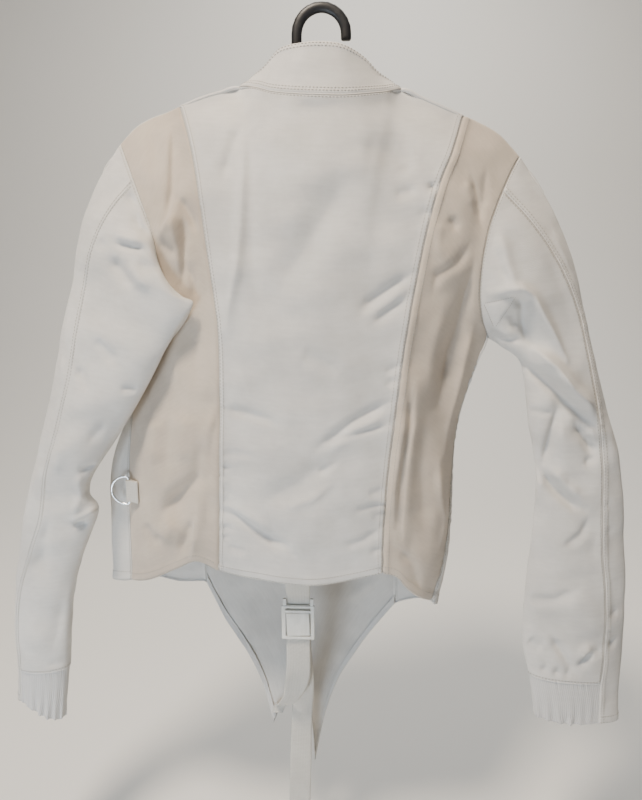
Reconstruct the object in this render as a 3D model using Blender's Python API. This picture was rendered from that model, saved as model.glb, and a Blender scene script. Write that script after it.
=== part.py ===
"""A white fencing jacket hanging on a plastic clothes hanger.

Metres, +Z up.  +X is the wearer's right, the jacket's back faces -Y and its front faces +Y.
The origin is the inner top of the hanger's hook, where a peg holds it.
Tables are in millimetres, one row for each point, section, fold or size.
"""
import math

import bmesh
import bpy
import numpy as np
from mathutils import Matrix, Vector
from mathutils.bvhtree import BVHTree

MM = 0.001

# Cloth and seams, in millimetres.
CLOTH = 1.5
SEAM_GAP = 0.3
KNIT = 1.2
LAYER_GAP = 0.35

# Cells of the cloth grids.
SIDE_ROWS = 11
ARM_ROWS = 10
SIDE_COLUMNS = 6
SHOULDER_COLUMNS = 3
NECK_BACK_COLUMNS = 8
NECK_FRONT_COLUMNS = 5
COLLAR_ROWS = 3
SLEEVE_ROWS = 17
CUFF_ROWS = 2
BAND_ROWS = 3

# Torso seams, from hem to shoulder: x, y, z.  The armpit's level parts each into two lengths.
BACK_SEAM_LEFT = [
    (-104, -49, -543), (-102, -52, -513), (-99, -53, -434), (-97, -52, -362), (-97, -51, -294),
    (-101, -50, -256), (-107, -49, -210), (-115, -42, -155), (-125, -28, -112), (-137, -4, -82),
]
BACK_SEAM_RIGHT = [
    (65, -51, -540), (65, -54, -503), (68, -55, -440), (76, -55, -360), (82, -55, -307),
    (90, -53, -256), (100, -48, -203), (111, -41, -161), (124, -28, -129), (136, -4, -93),
]
SIDE_SEAM_LEFT = [
    (-211, -4, -577), (-210, -5, -543), (-209, -6, -496), (-207, -6, -450), (-204, -6, -417),
    (-196, -6, -360), (-189, -6, -316), (-187, -6, -284),
]
SIDE_SEAM_RIGHT = [
    (117, -25, -583), (126, -23, -556), (131, -21, -530), (134, -19, -502), (135, -18, -470),
    (136, -16, -440), (138, -14, -410), (143, -12, -380), (153, -10, -346), (168, -8, -303),
]
ARMHOLE_BACK_LEFT = [
    (-187, -6, -284), (-175, -19, -276), (-164, -28, -256), (-158, -35, -222), (-163, -33, -200),
    (-173, -25, -176), (-184, -16, -150), (-192, -8, -132), (-199, 0, -116),
]
ARMHOLE_BACK_RIGHT = [
    (168, -8, -303), (158, -24, -280), (154, -32, -250), (157, -34, -214), (164, -30, -187),
    (173, -20, -165), (183, -9, -145), (192, 0, -130),
]
ARMHOLE_FRONT_LEFT = [
    (-187, -6, -284), (-174, 16, -272), (-161, 28, -252), (-154, 33, -222), (-160, 31, -188),
    (-174, 22, -158), (-188, 10, -133), (-199, 0, -116),
]
ARMHOLE_FRONT_RIGHT = [
    (168, -8, -303), (158, 14, -288), (148, 27, -262), (144, 33, -228), (150, 31, -196),
    (164, 22, -168), (179, 10, -146), (192, 0, -130),
]
FRONT_SEAM_LEFT = [
    (-136, 30, -594), (-136, 34, -540), (-133, 40, -460), (-128, 43, -380), (-122, 44, -304),
    (-118, 44, -250), (-117, 41, -190), (-120, 30, -140), (-128, 14, -102), (-137, -4, -82),
]
FRONT_SEAM_RIGHT = [
    (85, 26, -614), (84, 31, -560), (82, 38, -470), (82, 42, -380), (84, 44, -308),
    (88, 44, -250), (97, 41, -195), (108, 30, -150), (124, 14, -113), (136, -4, -93),
]
FRONT_EDGE = [
    (-29, 27, -707), (-24, 32, -640), (-18, 38, -540), (-12, 43, -430), (-6, 46, -310),
    (-4, 47, -240), (-3, 48, -180), (-2, 48, -126),
]
FRONT_TIP_LEFT = [(-58, 21, -770), (-43, 23, -735), (-32, 27, -707)]
FRONT_TIP_RIGHT = [(-8, 19, -817), (-12, 22, -770), (-26, 27, -707)]

# Edges across the torso, from left to right: x, y, z.
BACK_HEM = [
    (-104, -49, -543), (-70, -54, -547), (-30, -56, -551), (1, -56, -551), (32, -55, -547), (65, -51, -540),
]
SIDE_BACK_HEM_LEFT = [
    (-211, -4, -577), (-187, -18, -568), (-147, -38, -544), (-124, -46, -534), (-104, -49, -543),
]
SIDE_BACK_HEM_RIGHT = [(65, -51, -540), (78, -51, -544), (88, -47, -556), (104, -37, -572), (117, -25, -583)]
SIDE_FRONT_HEM_LEFT = [
    (-211, -4, -577), (-232, -1, -583), (-240, 8, -586), (-233, 17, -586), (-199, 23, -586),
    (-165, 28, -594), (-136, 30, -594),
]
SIDE_FRONT_HEM_RIGHT = [
    (117, -25, -583), (124, -24, -591), (126, -15, -594), (122, -3, -596), (111, 9, -600), (98, 19, -606),
    (85, 26, -614),
]
FRONT_HEM_LEFT = [
    (-136, 30, -594), (-113, 27, -642), (-98, 25, -665), (-82, 25, -696), (-70, 25, -726), (-58, 21, -770),
]
FRONT_HEM_RIGHT = [
    (85, 26, -614), (62, 25, -643), (42, 24, -673), (25, 24, -701), (11, 22, -733), (2, 20, -765), (-8, 19, -817),
]
NECK_BACK = [
    (-79, -4, -66), (-69, -15, -67), (-52, -26, -73), (-37, -34, -78), (-7, -40, -81), (15, -40, -82),
    (36, -35, -80), (59, -21, -75), (70, -11, -71), (77, -4, -69),
]
NECK_FRONT_LEFT = [(-79, -4, -66), (-71, 20, -86), (-55, 35, -107), (-32, 44, -121), (-2, 48, -126)]
NECK_FRONT_RIGHT = [(-2, 48, -126), (30, 44, -122), (53, 35, -108), (69, 20, -88), (77, -4, -69)]
SHOULDER_LEFT = [(-199, 0, -116), (-184, 0, -101), (-168, 0, -92), (-153, 0, -87), (-137, -4, -82)]
SHOULDER_INNER_LEFT = [(-137, -4, -82), (-118, -4, -75), (-96, -4, -69), (-79, -4, -66)]
SHOULDER_INNER_RIGHT = [(77, -4, -69), (98, -4, -77), (124, -4, -88), (136, -4, -93)]
SHOULDER_RIGHT = [(136, -4, -93), (153, -1, -99), (170, 0, -108), (181, 0, -118), (192, 0, -130)]

# The stand collar's top edge, once round from the left side of the front opening.
COLLAR_TOP = [
    (-4, 50, -75), (-30, 49, -72), (-56, 42, -66), (-72, 28, -60), (-69, 8, -57), (-58, -6, -52),
    (-48, -14, -45), (-38, -20, -36), (-15, -27, -33), (4, -29, -33), (21, -27, -35), (37, -19, -41),
    (48, -13, -50), (58, -5, -57), (68, 8, -61), (72, 28, -63), (54, 42, -68), (30, 49, -73), (0, 50, -76),
]

# Sleeves, a row for each section from the upper arm to the wrist.  Columns: outer edge x, y, z,
# inner edge x, y, z, fullness to the back and to the front, share of the width inside the back seam and
# the front seam, and inside the first column in front of the inner edge, and how far the front half sags.
SLEEVE_LEFT = [
    (-251, -12, -247, -120, -52, -271, 15, 20, 0.86, 0.82, 0.66, 40),
    (-261, -14, -283, -143, -48, -302, 19, 22, 0.82, 0.74, 0.52, 24),
    (-275, -16, -341, -165, -42, -340, 22, 22, 0.78, 0.60, 0.36, 8),
    (-285, -18, -380, -187, -38, -376, 21, 20, 0.76, 0.48, 0.22, 0),
    (-296, -20, -418, -213, -33, -413, 19, 17, 0.73, 0.38, 0.08, 0),
    (-306, -20, -453, -240, -30, -452, 17, 14, 0.70, 0.33, 0.05, 0),
    (-313, -20, -476, -243, -26, -470, 17, 14, 0.67, 0.30, 0.05, 0),
    (-320, -20, -499, -236, -24, -488, 17, 15, 0.69, 0.30, 0.05, 0),
    (-328, -20, -537, -254, -22, -530, 17, 16, 0.76, 0.30, 0.05, 0),
    (-334, -20, -572, -268, -20, -571, 17, 16, 0.84, 0.30, 0.05, 0),
    (-339, -20, -608, -275, -20, -606, 17, 16, 0.88, 0.30, 0.05, 0),
    (-341, -20, -646, -279, -20, -643, 17, 15, 0.88, 0.30, 0.05, 0),
    (-341, -20, -675, -283, -20, -673, 16, 14, 0.87, 0.30, 0.05, 0),
]
SLEEVE_RIGHT = [
    (259, -14, -276, 180, -18, -312, 19, 24, 0.90, 0.40, 0.10, 0),
    (266, -15, -302, 197, -17, -324, 20, 23, 0.88, 0.36, 0.08, 0),
    (274, -17, -331, 203, -18, -340, 21, 22, 0.86, 0.33, 0.06, 0),
    (282, -19, -358, 207, -20, -366, 21, 21, 0.84, 0.30, 0.05, 0),
    (291, -20, -387, 211, -20, -392, 20, 20, 0.80, 0.30, 0.05, 0),
    (301, -20, -416, 217, -20, -416, 18, 18, 0.76, 0.30, 0.05, 0),
    (307, -20, -444, 221, -20, -442, 18, 17, 0.72, 0.30, 0.05, 0),
    (312, -20, -476, 222, -20, -470, 18, 17, 0.70, 0.30, 0.05, 0),
    (317, -20, -524, 220, -20, -522, 19, 18, 0.71, 0.30, 0.05, 0),
    (321, -20, -560, 218, -20, -557, 20, 18, 0.74, 0.30, 0.05, 0),
    (323, -20, -600, 217, -20, -597, 20, 18, 0.76, 0.30, 0.05, 0),
    (325, -20, -640, 219, -20, -636, 19, 17, 0.76, 0.30, 0.05, 0),
    (325, -20, -669, 228, -20, -668, 17, 15, 0.73, 0.30, 0.05, 0),
]
# The plain outer strip goes on to its own hem past the gathered band: outer edge x, z and back seam share.
CUFF_LEFT = {"outer": (-344, -20, -716), "inner": (-292, -20, -712), "back": 13, "front": 12, "share": 0.86}
CUFF_RIGHT = {"outer": (326, -20, -720), "inner": (236, -20, -716), "back": 14, "front": 12, "share": 0.73}
CUFF_BAND_DROP = {"left": (0, 8, 20, 26, 24, 12), "right": (0, 2, 3, 2, 1, 0)}
FLUTE_DEPTH = 1.3
FLUTES = 9
BACK_SEAM_COLUMN = {"left": 3, "right": 3}
FRONT_SEAM_COLUMN = 15
FOLD_COLUMN = {"left": 8, "right": 10}
TUCK_COLUMN = {"left": 10, "right": 11}
CAP_ROWS = 4
CAP_OUTWARD = 9
CAP_FORWARD = 2
LAID_CLEAR = 3.2
LAID_RISE = 7
SHARP_SEAM = 0.45
CAP_BACKWARD = {"left": 12, "right": 7}

# Folds.  Columns: layer, start x, z, end x, z, half-width, depth (ridge positive, trough negative).
FOLDS = [
    ("back", -140, -119, -139, -169, 11, -5),
    ("back", -126, -178, -128, -246, 10, -5),
    ("back", -150, -200, -132, -182, 10, 5),
    ("back", -108, -403, -121, -512, 13, 6),
    ("back", -120, -452, -170, -497, 10, -4),
    ("back", -88, -188, -86, -292, 14, 4),
    ("back", 21, -162, -40, -261, 20, -4),
    ("back", 83, -258, 37, -276, 12, -3),
    ("back", -98, -476, -26, -513, 12, -3),
    ("back", -26, -513, 15, -463, 14, 3),
    ("back", 92, -340, 84, -498, 11, 8),
    ("back", 78, -400, 74, -500, 8, -5),
    ("back", 140, -262, 118, -372, 12, -6),
    ("back", 148, -170, 152, -205, 12, -4),
    ("back", 134, -222, 110, -240, 12, 4),
    ("front", -60, -170, -80, -300, 18, 4),
    ("front", 46, -190, 62, -330, 18, 4),
    ("front", 60, -360, 40, -480, 20, -4),
    ("front", -100, -380, -70, -520, 18, 4),
    ("left", -206, -215, -150, -262, 13, 5),
    ("left", -240, -262, -160, -290, 12, -5),
    ("left", -268, -340, -190, -322, 12, -4),
    ("left", -285, -405, -226, -440, 11, 5),
    ("left", -300, -470, -252, -462, 9, -5),
    ("left", -312, -500, -246, -506, 9, 4),
    ("left", -330, -560, -280, -540, 11, -4),
    ("right", 164, -262, 192, -256, 10, 5),
    ("right", 192, -256, 218, -292, 10, 6),
    ("right", 182, -272, 206, -300, 9, -7),
    ("right", 198, -322, 243, -356, 10, 6),
    ("right", 243, -356, 276, -390, 10, 6),
    ("right", 210, -344, 268, -400, 9, -6),
    ("right", 254, -395, 290, -424, 9, -5),
    ("right", 227, -439, 268, -477, 11, -5),
    ("right", 232, -375, 227, -437, 10, -4),
    ("right", 226, -560, 300, -600, 14, 4),
    ("right", 232, -640, 300, -622, 11, -4),
]

# The strap, its buckle and the ring, in millimetres.
WEBBING_WIDTH = 26
WEBBING = 1.6
STRAP_UPPER = [
    (-22, -50, -522, 26), (-22, -50, -544, 26), (-22.5, -43, -565, 25.5), (-23, -32.4, -578, 25),
    (-23, -32.25, -586, 25), (-23, -32.25, -594, 25),
]
STRAP_LOWER = [
    (-23, -32.25, -597, 26), (-23, -32.25, -616, 26), (-23, -32.25, -632, 26), (-23, -31.5, -652, 26),
    (-24, -28, -671, 27), (-27, -21, -690, 25), (-32, -12, -709, 21), (-41, -1, -727, 17), (-49, 13, -743, 14),
    (-53, 14, -754, 13),
]
STRAP_TAIL = [
    (-22, -30.3, -604, 25), (-22, -30.2, -632, 25), (-21, -26, -655, 25), (-20, -17, -680, 25),
    (-20.5, -6, -705, 25), (-21.5, 3.5, -730, 24), (-23, 4, -760, 24), (-24, 0, -805, 25), (-25, -2, -850, 25),
    (-25, -3, -893, 25),
]
STRAP_ROWS = 16
BUCKLE = {"x": -23, "y": -35.9, "top": -586, "bottom": -625, "width": 35, "rail": 4.0, "thick": 3.4}
BUCKLE_WINDOWS = [(-591.6, -588.8), (-621.5, -594.2)]
BUCKLE_PRONG = {"inset": 3.0, "width": 3.2, "length": 7.5}
FLAP = {"width": 24.6, "height": 26.2, "thick": 2.6, "tilt": 2.5}
D_RING = {"wire": 3.0, "bar": 28, "reach": 19, "x": -202, "z": -468, "corner": 3}
D_TAB = {"height": 24, "eye": 1.95, "web": 1.5, "tail": 10}
D_RING_SIDES = 8
ZIP_TAPE = 10
ZIP_TAPE_ROW = 5
ZIP_CHAIN = {"width": 4.4, "thick": 1.6, "bottom": -545, "top": -134, "rows": 14}
ZIP_GAP = 3
SLIDER = {"width": 8, "height": 12, "thick": 1.6, "bridge": 2.6, "arch": 1.1, "room": 2.8, "z": -146}
PULL = {"width": 6.4, "length": 24, "thick": 1.2, "bar": 1.3, "eye": 3.8, "eye_length": 4.2}
HEM_TURN = 12
COLLAR_AXIS = (0, 8, -75)
HEM_TURN_THICK = 1.0
HANGER = {"tip_left": -164, "tip_right": 158, "wide": 8, "deep": 11, "clear": -5.2, "neck_z": -47}
HOOK = {"inner": 18, "bar": 11, "thick": 7, "tip_drop": 6, "leg_drop": 14}

WHITE_CLOTH = (0.80, 0.78, 0.75)
STRETCH_CLOTH = (0.70, 0.62, 0.54)
RIB_KNIT = (0.72, 0.71, 0.70)
WEB_WHITE = (0.82, 0.81, 0.79)
PLASTIC_WHITE = (0.86, 0.86, 0.85)
PLASTIC_BLACK = (0.02, 0.02, 0.022)
STEEL = (0.72, 0.73, 0.75)


def clear_scene():
    for old in list(bpy.data.objects):
        bpy.data.objects.remove(old, do_unlink=True)


def material(name, colour, roughness, metallic=0.0):
    found = bpy.data.materials.get(name)
    if found:
        return found
    made = bpy.data.materials.new(name)
    made.use_nodes = True
    shader = made.node_tree.nodes["Principled BSDF"]
    shader.inputs["Base Color"].default_value = (*colour, 1)
    shader.inputs["Roughness"].default_value = roughness
    shader.inputs["Metallic"].default_value = metallic
    return made


def add_object(name, mesh, finish, smooth=True):
    item = bpy.data.objects.new(name, mesh)
    bpy.context.scene.collection.objects.link(item)
    mesh.materials.append(finish)
    if smooth:
        mesh.shade_smooth()
        mesh.set_sharp_from_angle(angle=math.radians(50))
    return item


def spline(rows, samples=16):
    """A smooth curve through the rows, as close points."""
    points = np.array(rows, float)
    ends = np.vstack([2 * points[0] - points[1], points, 2 * points[-1] - points[-2]])
    out = []
    for a, b, c, d in zip(ends, ends[1:], ends[2:], ends[3:]):
        for step in range(samples):
            t = step / samples
            out.append(b + 0.5 * t * (c - a + t * (2 * a - 5 * b + 4 * c - d + t * (3 * (b - c) + d - a))))
    out.append(points[-1])
    return np.array(out)


def spaced(rows, shares):
    """Points on the smooth curve through the rows, at the given shares of its length."""
    fine = spline(rows)
    steps = np.linalg.norm(np.diff(fine, axis=0), axis=1)
    along = np.concatenate([[0], np.cumsum(steps)]) / steps.sum()
    return np.array([[np.interp(s, along, fine[:, k]) for k in range(3)] for s in shares])


def split_at_level(rows, level):
    """The seam's rows below and above a level of z, which share the point at that level."""
    fine = spline(rows)
    cut = int(np.argmin(np.abs(fine[:, 2] - level)))
    return fine[: cut + 1: 4].tolist() + [fine[cut].tolist()], fine[cut:].tolist()


def unit(vector):
    return vector / (np.linalg.norm(vector) + 1e-12)


def smooth(value, low, high):
    t = min(1, max(0, (value - low) / (high - low)))
    return t * t * (3 - 2 * t)


def patch(left, right, bottom, top, columns, bulge=0.0, side=-1, turn_left=0.0, turn_right=0.0,
          top_power=2):
    """A smooth sheet of points between four edges, bulged towards its side of the body."""
    rows = len(left)
    grid = np.zeros((rows, len(columns), 3))
    for i in range(rows):
        v = i / (rows - 1)
        from_bottom = np.array([1 - smooth(v, 0.2, 0.5), (1 - v) ** 2, (1 - v) ** 2])
        from_top = np.array([v, v ** top_power, v ** 3])
        for j, u in enumerate(columns):
            across = (1 - u) * left[i] + u * right[i]
            at_bottom = bottom[j] - (1 - u) * left[0] - u * right[0]
            at_top = top[j] - (1 - u) * left[-1] - u * right[-1]
            grid[i, j] = across + from_bottom * at_bottom + from_top * at_top
            turn = 1 - smooth(v, 0.25, 0.50)
            swell = bulge * math.sin(math.pi * u)
            swell += turn * turn_left * math.sin(math.pi * u) * (1 - u) ** 1.5
            swell += turn * turn_right * math.sin(math.pi * u) * u ** 1.5
            grid[i, j, 1] += side * swell * math.sin(math.pi / 2 * min(1, 2.2 * (1 - v))) * min(1, 0.5 + 3 * v)
    return grid


def fold_height(layer, x, z):
    """How far the cloth stands out of its smooth form at a place, over all folds of its layer."""
    height = 0.0
    for where, x0, z0, x1, z1, half, depth in FOLDS:
        if where != layer:
            continue
        run = np.array([x1 - x0, z1 - z0], float)
        place = np.array([x - x0, z - z0], float)
        share = float(place @ run / (run @ run))
        near = min(1, max(0, share))
        off = np.linalg.norm(place - near * run)
        fade = 1 - 0.45 * abs(2 * near - 1)
        height += depth * fade * math.exp(-((off / half) ** 2))
    return height


def key_of(point):
    return tuple(np.round(point, 3))


class Cloth:
    """All panels of the jacket, which share their points at the seams until they are parted."""

    def __init__(self):
        self.grids = {}
        self.layers = {}
        self.outward = {}
        self.bands = {}

    def add(self, name, grid, layer, outward):
        self.grids[name] = grid
        self.layers[name] = layer
        self.outward[name] = np.broadcast_to(outward, grid.shape)

    def raise_folds(self):
        """Moves each point by its folds, the same way for every panel that meets there."""
        moves = {}
        for name, grid in self.grids.items():
            for point, out in zip(grid.reshape(-1, 3), self.outward[name].reshape(-1, 3)):
                move = out * fold_height(self.layers[name], point[0], point[2])
                moves.setdefault(key_of(point), []).append(move)
        for grid in self.grids.values():
            flat = grid.reshape(-1, 3)
            flat[:] = [point + np.mean(moves[key_of(point)], axis=0) for point in flat]

    def normals(self):
        """Outward normals for every panel, averaged over all the panels that meet at a point."""
        sums, own = {}, {}
        group = {name: name.split("_")[0] == "sleeve" for name in self.grids}
        for name, grid in self.grids.items():
            faces = np.cross(grid[1:, 1:] - grid[:-1, :-1], grid[1:, :-1] - grid[:-1, 1:])
            sign = 1 if np.sum(faces * self.outward[name][:-1, :-1]) > 0 else -1
            for i in range(faces.shape[0]):
                for j in range(faces.shape[1]):
                    for corner in (grid[i, j], grid[i, j + 1], grid[i + 1, j + 1], grid[i + 1, j]):
                        key = key_of(corner)
                        sums[key] = sums.get(key, np.zeros(3)) + sign * faces[i, j]
                        own[group[name], key] = own.get((group[name], key), np.zeros(3)) + sign * faces[i, j]

        def at(name, key):
            """The shared normal, or the sleeve's or torso's own where the cloth turns back at the armhole."""
            shared, alone = unit(sums[key]), unit(own[group[name], key])
            return shared if shared @ alone > SHARP_SEAM else alone

        return {name: np.array([[at(name, key_of(p)) for p in row] for row in grid])
                for name, grid in self.grids.items()}


def seam_inset(grid, normals, inset):
    """The grid with its rim drawn in by the inset, square to each edge, inside the sheet."""
    rows, cols = grid.shape[:2]
    out = grid.copy()
    for i in range(rows):
        for j in range(cols):
            if 0 < i < rows - 1 and 0 < j < cols - 1:
                continue
            n = normals[i, j]
            pulls = []
            if j in (0, cols - 1):
                along = grid[min(i + 1, rows - 1), j] - grid[max(i - 1, 0), j]
                inward = grid[i, 1 if j == 0 else cols - 2] - grid[i, j]
                pulls.append(square_pull(along, inward, n))
            if i in (0, rows - 1):
                along = grid[i, min(j + 1, cols - 1)] - grid[i, max(j - 1, 0)]
                inward = grid[1 if i == 0 else rows - 2, j] - grid[i, j]
                pulls.append(square_pull(along, inward, n))
            total = np.sum(pulls, axis=0)
            if len(pulls) == 2:
                total = total / max(0.35, 1 + float(pulls[0] @ pulls[1]))
            out[i, j] = grid[i, j] + inset * total
    return out


def square_pull(along, inward, normal):
    """The unit direction in the sheet, square to its edge and pointing into it."""
    side = unit(np.cross(unit(along), normal))
    return side if side @ inward > 0 else -side


def wall_mesh(name, outer, normals, thickness):
    """A closed wall whose outer face is the grid, with its thickness set inwards along the normals."""
    rows, cols = outer.shape[:2]
    inner = outer - thickness * normals
    mesh = bpy.data.meshes.new(name)
    bm = bmesh.new()
    skins = [[[bm.verts.new(Vector(p) * MM) for p in row] for row in skin] for skin in (outer, inner)]
    front, back = skins
    for i in range(rows - 1):
        for j in range(cols - 1):
            bm.faces.new((front[i][j], front[i][j + 1], front[i + 1][j + 1], front[i + 1][j]))
            bm.faces.new((back[i][j], back[i + 1][j], back[i + 1][j + 1], back[i][j + 1]))
    rim = [(0, j) for j in range(cols)] + [(i, cols - 1) for i in range(1, rows)]
    rim += [(rows - 1, j) for j in range(cols - 2, -1, -1)] + [(i, 0) for i in range(rows - 2, 0, -1)]
    for (a, b), (c, d) in zip(rim, rim[1:] + rim[:1]):
        bm.faces.new((front[a][b], back[a][b], back[c][d], front[c][d]))
    if bm.calc_volume(signed=True) < 0:
        bmesh.ops.reverse_faces(bm, faces=bm.faces)
    bm.to_mesh(mesh)
    bm.free()
    return mesh


def grid_normals(grid):
    """Normals of one sheet of points, from its neighbours along and across."""
    rows, cols = grid.shape[:2]
    out = np.zeros_like(grid)
    for i in range(rows):
        for j in range(cols):
            up = grid[min(i + 1, rows - 1), j] - grid[max(i - 1, 0), j]
            over = grid[i, min(j + 1, cols - 1)] - grid[i, max(j - 1, 0)]
            out[i, j] = unit(np.cross(over, up))
    return out


OUT_BACK = np.array([0.0, -1.0, 0.0])
OUT_FRONT = np.array([0.0, 1.0, 0.0])


def shifted(rows, dx):
    return [(x + dx, y, z) for x, y, z in rows]


def torso_edges():
    """Every upright edge of the torso's panels, one point for each row of cells."""
    low = np.linspace(0, 1, SIDE_ROWS + 1)
    high = 1 - (1 - np.linspace(0, 1, ARM_ROWS + 1)) ** 1.25

    def upright(rows, level, foot=()):
        below, above = split_at_level(rows, level)
        return np.vstack([spaced([*foot[:-1], *below], low)[:-1], spaced(above, high)])

    def side(seam, armhole):
        return np.vstack([spaced(seam, low)[:-1], spaced(armhole, high)])

    return {
        "back_left": upright(BACK_SEAM_LEFT, -284), "back_right": upright(BACK_SEAM_RIGHT, -303),
        "front_left": upright(FRONT_SEAM_LEFT, -284), "front_right": upright(FRONT_SEAM_RIGHT, -306),
        "opening_left": upright(shifted(FRONT_EDGE, -ZIP_GAP), -310, FRONT_TIP_LEFT),
        "opening_right": upright(shifted(FRONT_EDGE, ZIP_GAP), -310, FRONT_TIP_RIGHT),
        "side_left_back": side(SIDE_SEAM_LEFT, ARMHOLE_BACK_LEFT),
        "side_left_front": side(SIDE_SEAM_LEFT, ARMHOLE_FRONT_LEFT),
        "side_right_back": side(SIDE_SEAM_RIGHT, ARMHOLE_BACK_RIGHT),
        "side_right_front": side(SIDE_SEAM_RIGHT, ARMHOLE_FRONT_RIGHT),
    }


def even(count):
    return np.linspace(0, 1, count + 1)


def neck_edges():
    """The neck seam's three lengths, which the collar shares."""
    return {
        "back": spaced(NECK_BACK, even(NECK_BACK_COLUMNS)),
        "left": spaced([*NECK_FRONT_LEFT[:-1], (-2 - ZIP_GAP, 48, -126)], even(NECK_FRONT_COLUMNS)),
        "right": spaced([(-2 + ZIP_GAP, 48, -126), *NECK_FRONT_RIGHT[1:]], even(NECK_FRONT_COLUMNS)),
    }


def add_torso(cloth, edges, neck):
    """Seven panels: centre back, two stretch side backs, two side fronts and two fronts."""
    toward_right = even(SIDE_COLUMNS) ** 1.25
    toward_left = 1 - toward_right[::-1]
    shoulder_left = spaced(SHOULDER_LEFT, toward_right)
    shoulder_right = spaced(SHOULDER_RIGHT, toward_left)
    inner_left = spaced(SHOULDER_INNER_LEFT, even(SHOULDER_COLUMNS))
    inner_right = spaced(SHOULDER_INNER_RIGHT, even(SHOULDER_COLUMNS))

    top = np.vstack([inner_left[:-1], neck["back"], inner_right[1:]])
    across = even(len(top) - 1)
    cloth.add("back_centre", patch(edges["back_left"], edges["back_right"], spaced(BACK_HEM, across), top,
                                   across, 5, top_power=5), "back", OUT_BACK)
    cloth.add("back_side_left", patch(edges["side_left_back"], edges["back_left"],
                                      spaced(SIDE_BACK_HEM_LEFT, toward_right), shoulder_left,
                                      toward_right, 2, -1, 17), "back", OUT_BACK)
    cloth.add("back_side_right", patch(edges["back_right"], edges["side_right_back"],
                                       spaced(SIDE_BACK_HEM_RIGHT, toward_left), shoulder_right,
                                       toward_left, 2, -1, 0, 17), "back", OUT_BACK)
    cloth.add("front_side_left", patch(edges["side_left_front"], edges["front_left"],
                                       spaced(SIDE_FRONT_HEM_LEFT, toward_right), shoulder_left,
                                       toward_right, 2, 1, 20), "front", OUT_FRONT)
    cloth.add("front_side_right", patch(edges["front_right"], edges["side_right_front"],
                                        spaced(SIDE_FRONT_HEM_RIGHT[::-1], toward_left), shoulder_right,
                                        toward_left, 2, 1, 0, 20), "front", OUT_FRONT)
    top_left = np.vstack([inner_left[:-1], neck["left"]])
    top_right = np.vstack([neck["right"], inner_right[1:]])
    width = even(len(top_left) - 1)
    cloth.add("front_left", patch(edges["front_left"], edges["opening_left"], spaced(FRONT_HEM_LEFT, width),
                                  top_left, width, 4, 1, top_power=4), "front", OUT_FRONT)
    cloth.add("front_right", patch(edges["opening_right"], edges["front_right"],
                                   spaced(FRONT_HEM_RIGHT[::-1], width), top_right, width, 4, 1, top_power=4),
              "front", OUT_FRONT)


def add_collar(cloth, neck):
    """One stand collar round the neck, open at the centre front."""
    foot = np.vstack([neck["left"][::-1][:-1], neck["back"][:-1], neck["right"][::-1]])
    shares = np.concatenate([[0], np.cumsum(np.linalg.norm(np.diff(foot, axis=0), axis=1))])
    head = spaced(COLLAR_TOP, shares / shares[-1])
    grid = np.array([(1 - t) * foot + t * head for t in even(COLLAR_ROWS)])
    cloth.add("collar", grid, "collar", grid - np.array(COLLAR_AXIS))


def ring(row, side):
    """One section round a sleeve, from its outer edge over the back, the inner edge and the front."""
    outer, inner = np.array(row[:3], float), np.array(row[3:6], float)
    back, front, back_share, front_share, tuck_share, sag = row[6:12]
    seam_back = math.acos(2 * back_share - 1)
    seam_front = 2 * math.pi - math.acos(2 * front_share - 1)
    tuck = 2 * math.pi - math.acos(2 * tuck_share - 1)
    stops = [(0, 0), (BACK_SEAM_COLUMN[side], seam_back), (FOLD_COLUMN[side], math.pi), (TUCK_COLUMN[side], tuck),
             (FRONT_SEAM_COLUMN, seam_front), (2 * ARM_ROWS, 2 * math.pi)]
    angles = np.interp(range(2 * ARM_ROWS + 1), *zip(*stops))
    points = []
    for a in angles:
        depth = -math.sin(a) * (back if a <= math.pi else front)
        lower = sag * min(0, math.sin(a))
        points.append((outer + inner) / 2 + (outer - inner) / 2 * math.cos(a) + np.array([0, depth, lower]))
    return np.array(points), angles


def sleeve_sheet(table, armhole, cuff, side, torso_tree):
    """All points of a sleeve: the cap from the armhole, the tube, and the strip past the band's seam."""
    sign = -1 if side == "left" else 1
    sections = spaced_rows(table, even(SLEEVE_ROWS))
    rings = [ring(row, side) for row in sections]
    angles = rings[0][1]
    outward = np.array([[0, -math.sin(a), 0] for a in angles])

    def settled(points, share, columns):
        """One row of points with its folds, laid over the torso's back."""
        for j in range(len(points)):
            points[j] += outward[j] * fold_height(side, points[j][0], points[j][2]) * share
            if j <= columns:
                clear = LAID_CLEAR + LAID_RISE * max(0, math.sin(angles[j]))
                points[j] = laid_over(points[j], torso_tree, clear)
        return points

    tube = [settled(points, 1, 2 * ARM_ROWS) for points, _ in rings]
    cap = [armhole]
    for s in even(CAP_ROWS)[1:-1]:
        out = np.array([[sign * CAP_OUTWARD * max(0, math.cos(a)),
                         -(CAP_BACKWARD[side] if a < math.pi else CAP_FORWARD) * math.sin(a),
                         0.5 * CAP_OUTWARD * max(0, math.cos(a))] for a in angles])
        control = (armhole + tube[0]) / 2 + 2 * out
        points = (1 - s) ** 2 * armhole + 2 * s * (1 - s) * control + s ** 2 * tube[0]
        cap.append(settled(points, 0, ARM_ROWS))
    grid = np.array(cap + tube)
    end_row = (*cuff["outer"], *cuff["inner"], cuff["back"], cuff["front"], cuff["share"], 0.30, 0.05, 0)
    end, _ = ring(end_row, side)
    return grid, end, outward


def laid_over(point, tree, clearance):
    """The point, moved to the back where it would lie inside or behind the torso's back."""
    hit = tree.ray_cast(Vector((point[0], -400, point[2])), Vector((0, 1, 0)))[0]
    if hit is None:
        return point
    return np.array([point[0], min(point[1], hit.y - clearance), point[2]])


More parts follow.
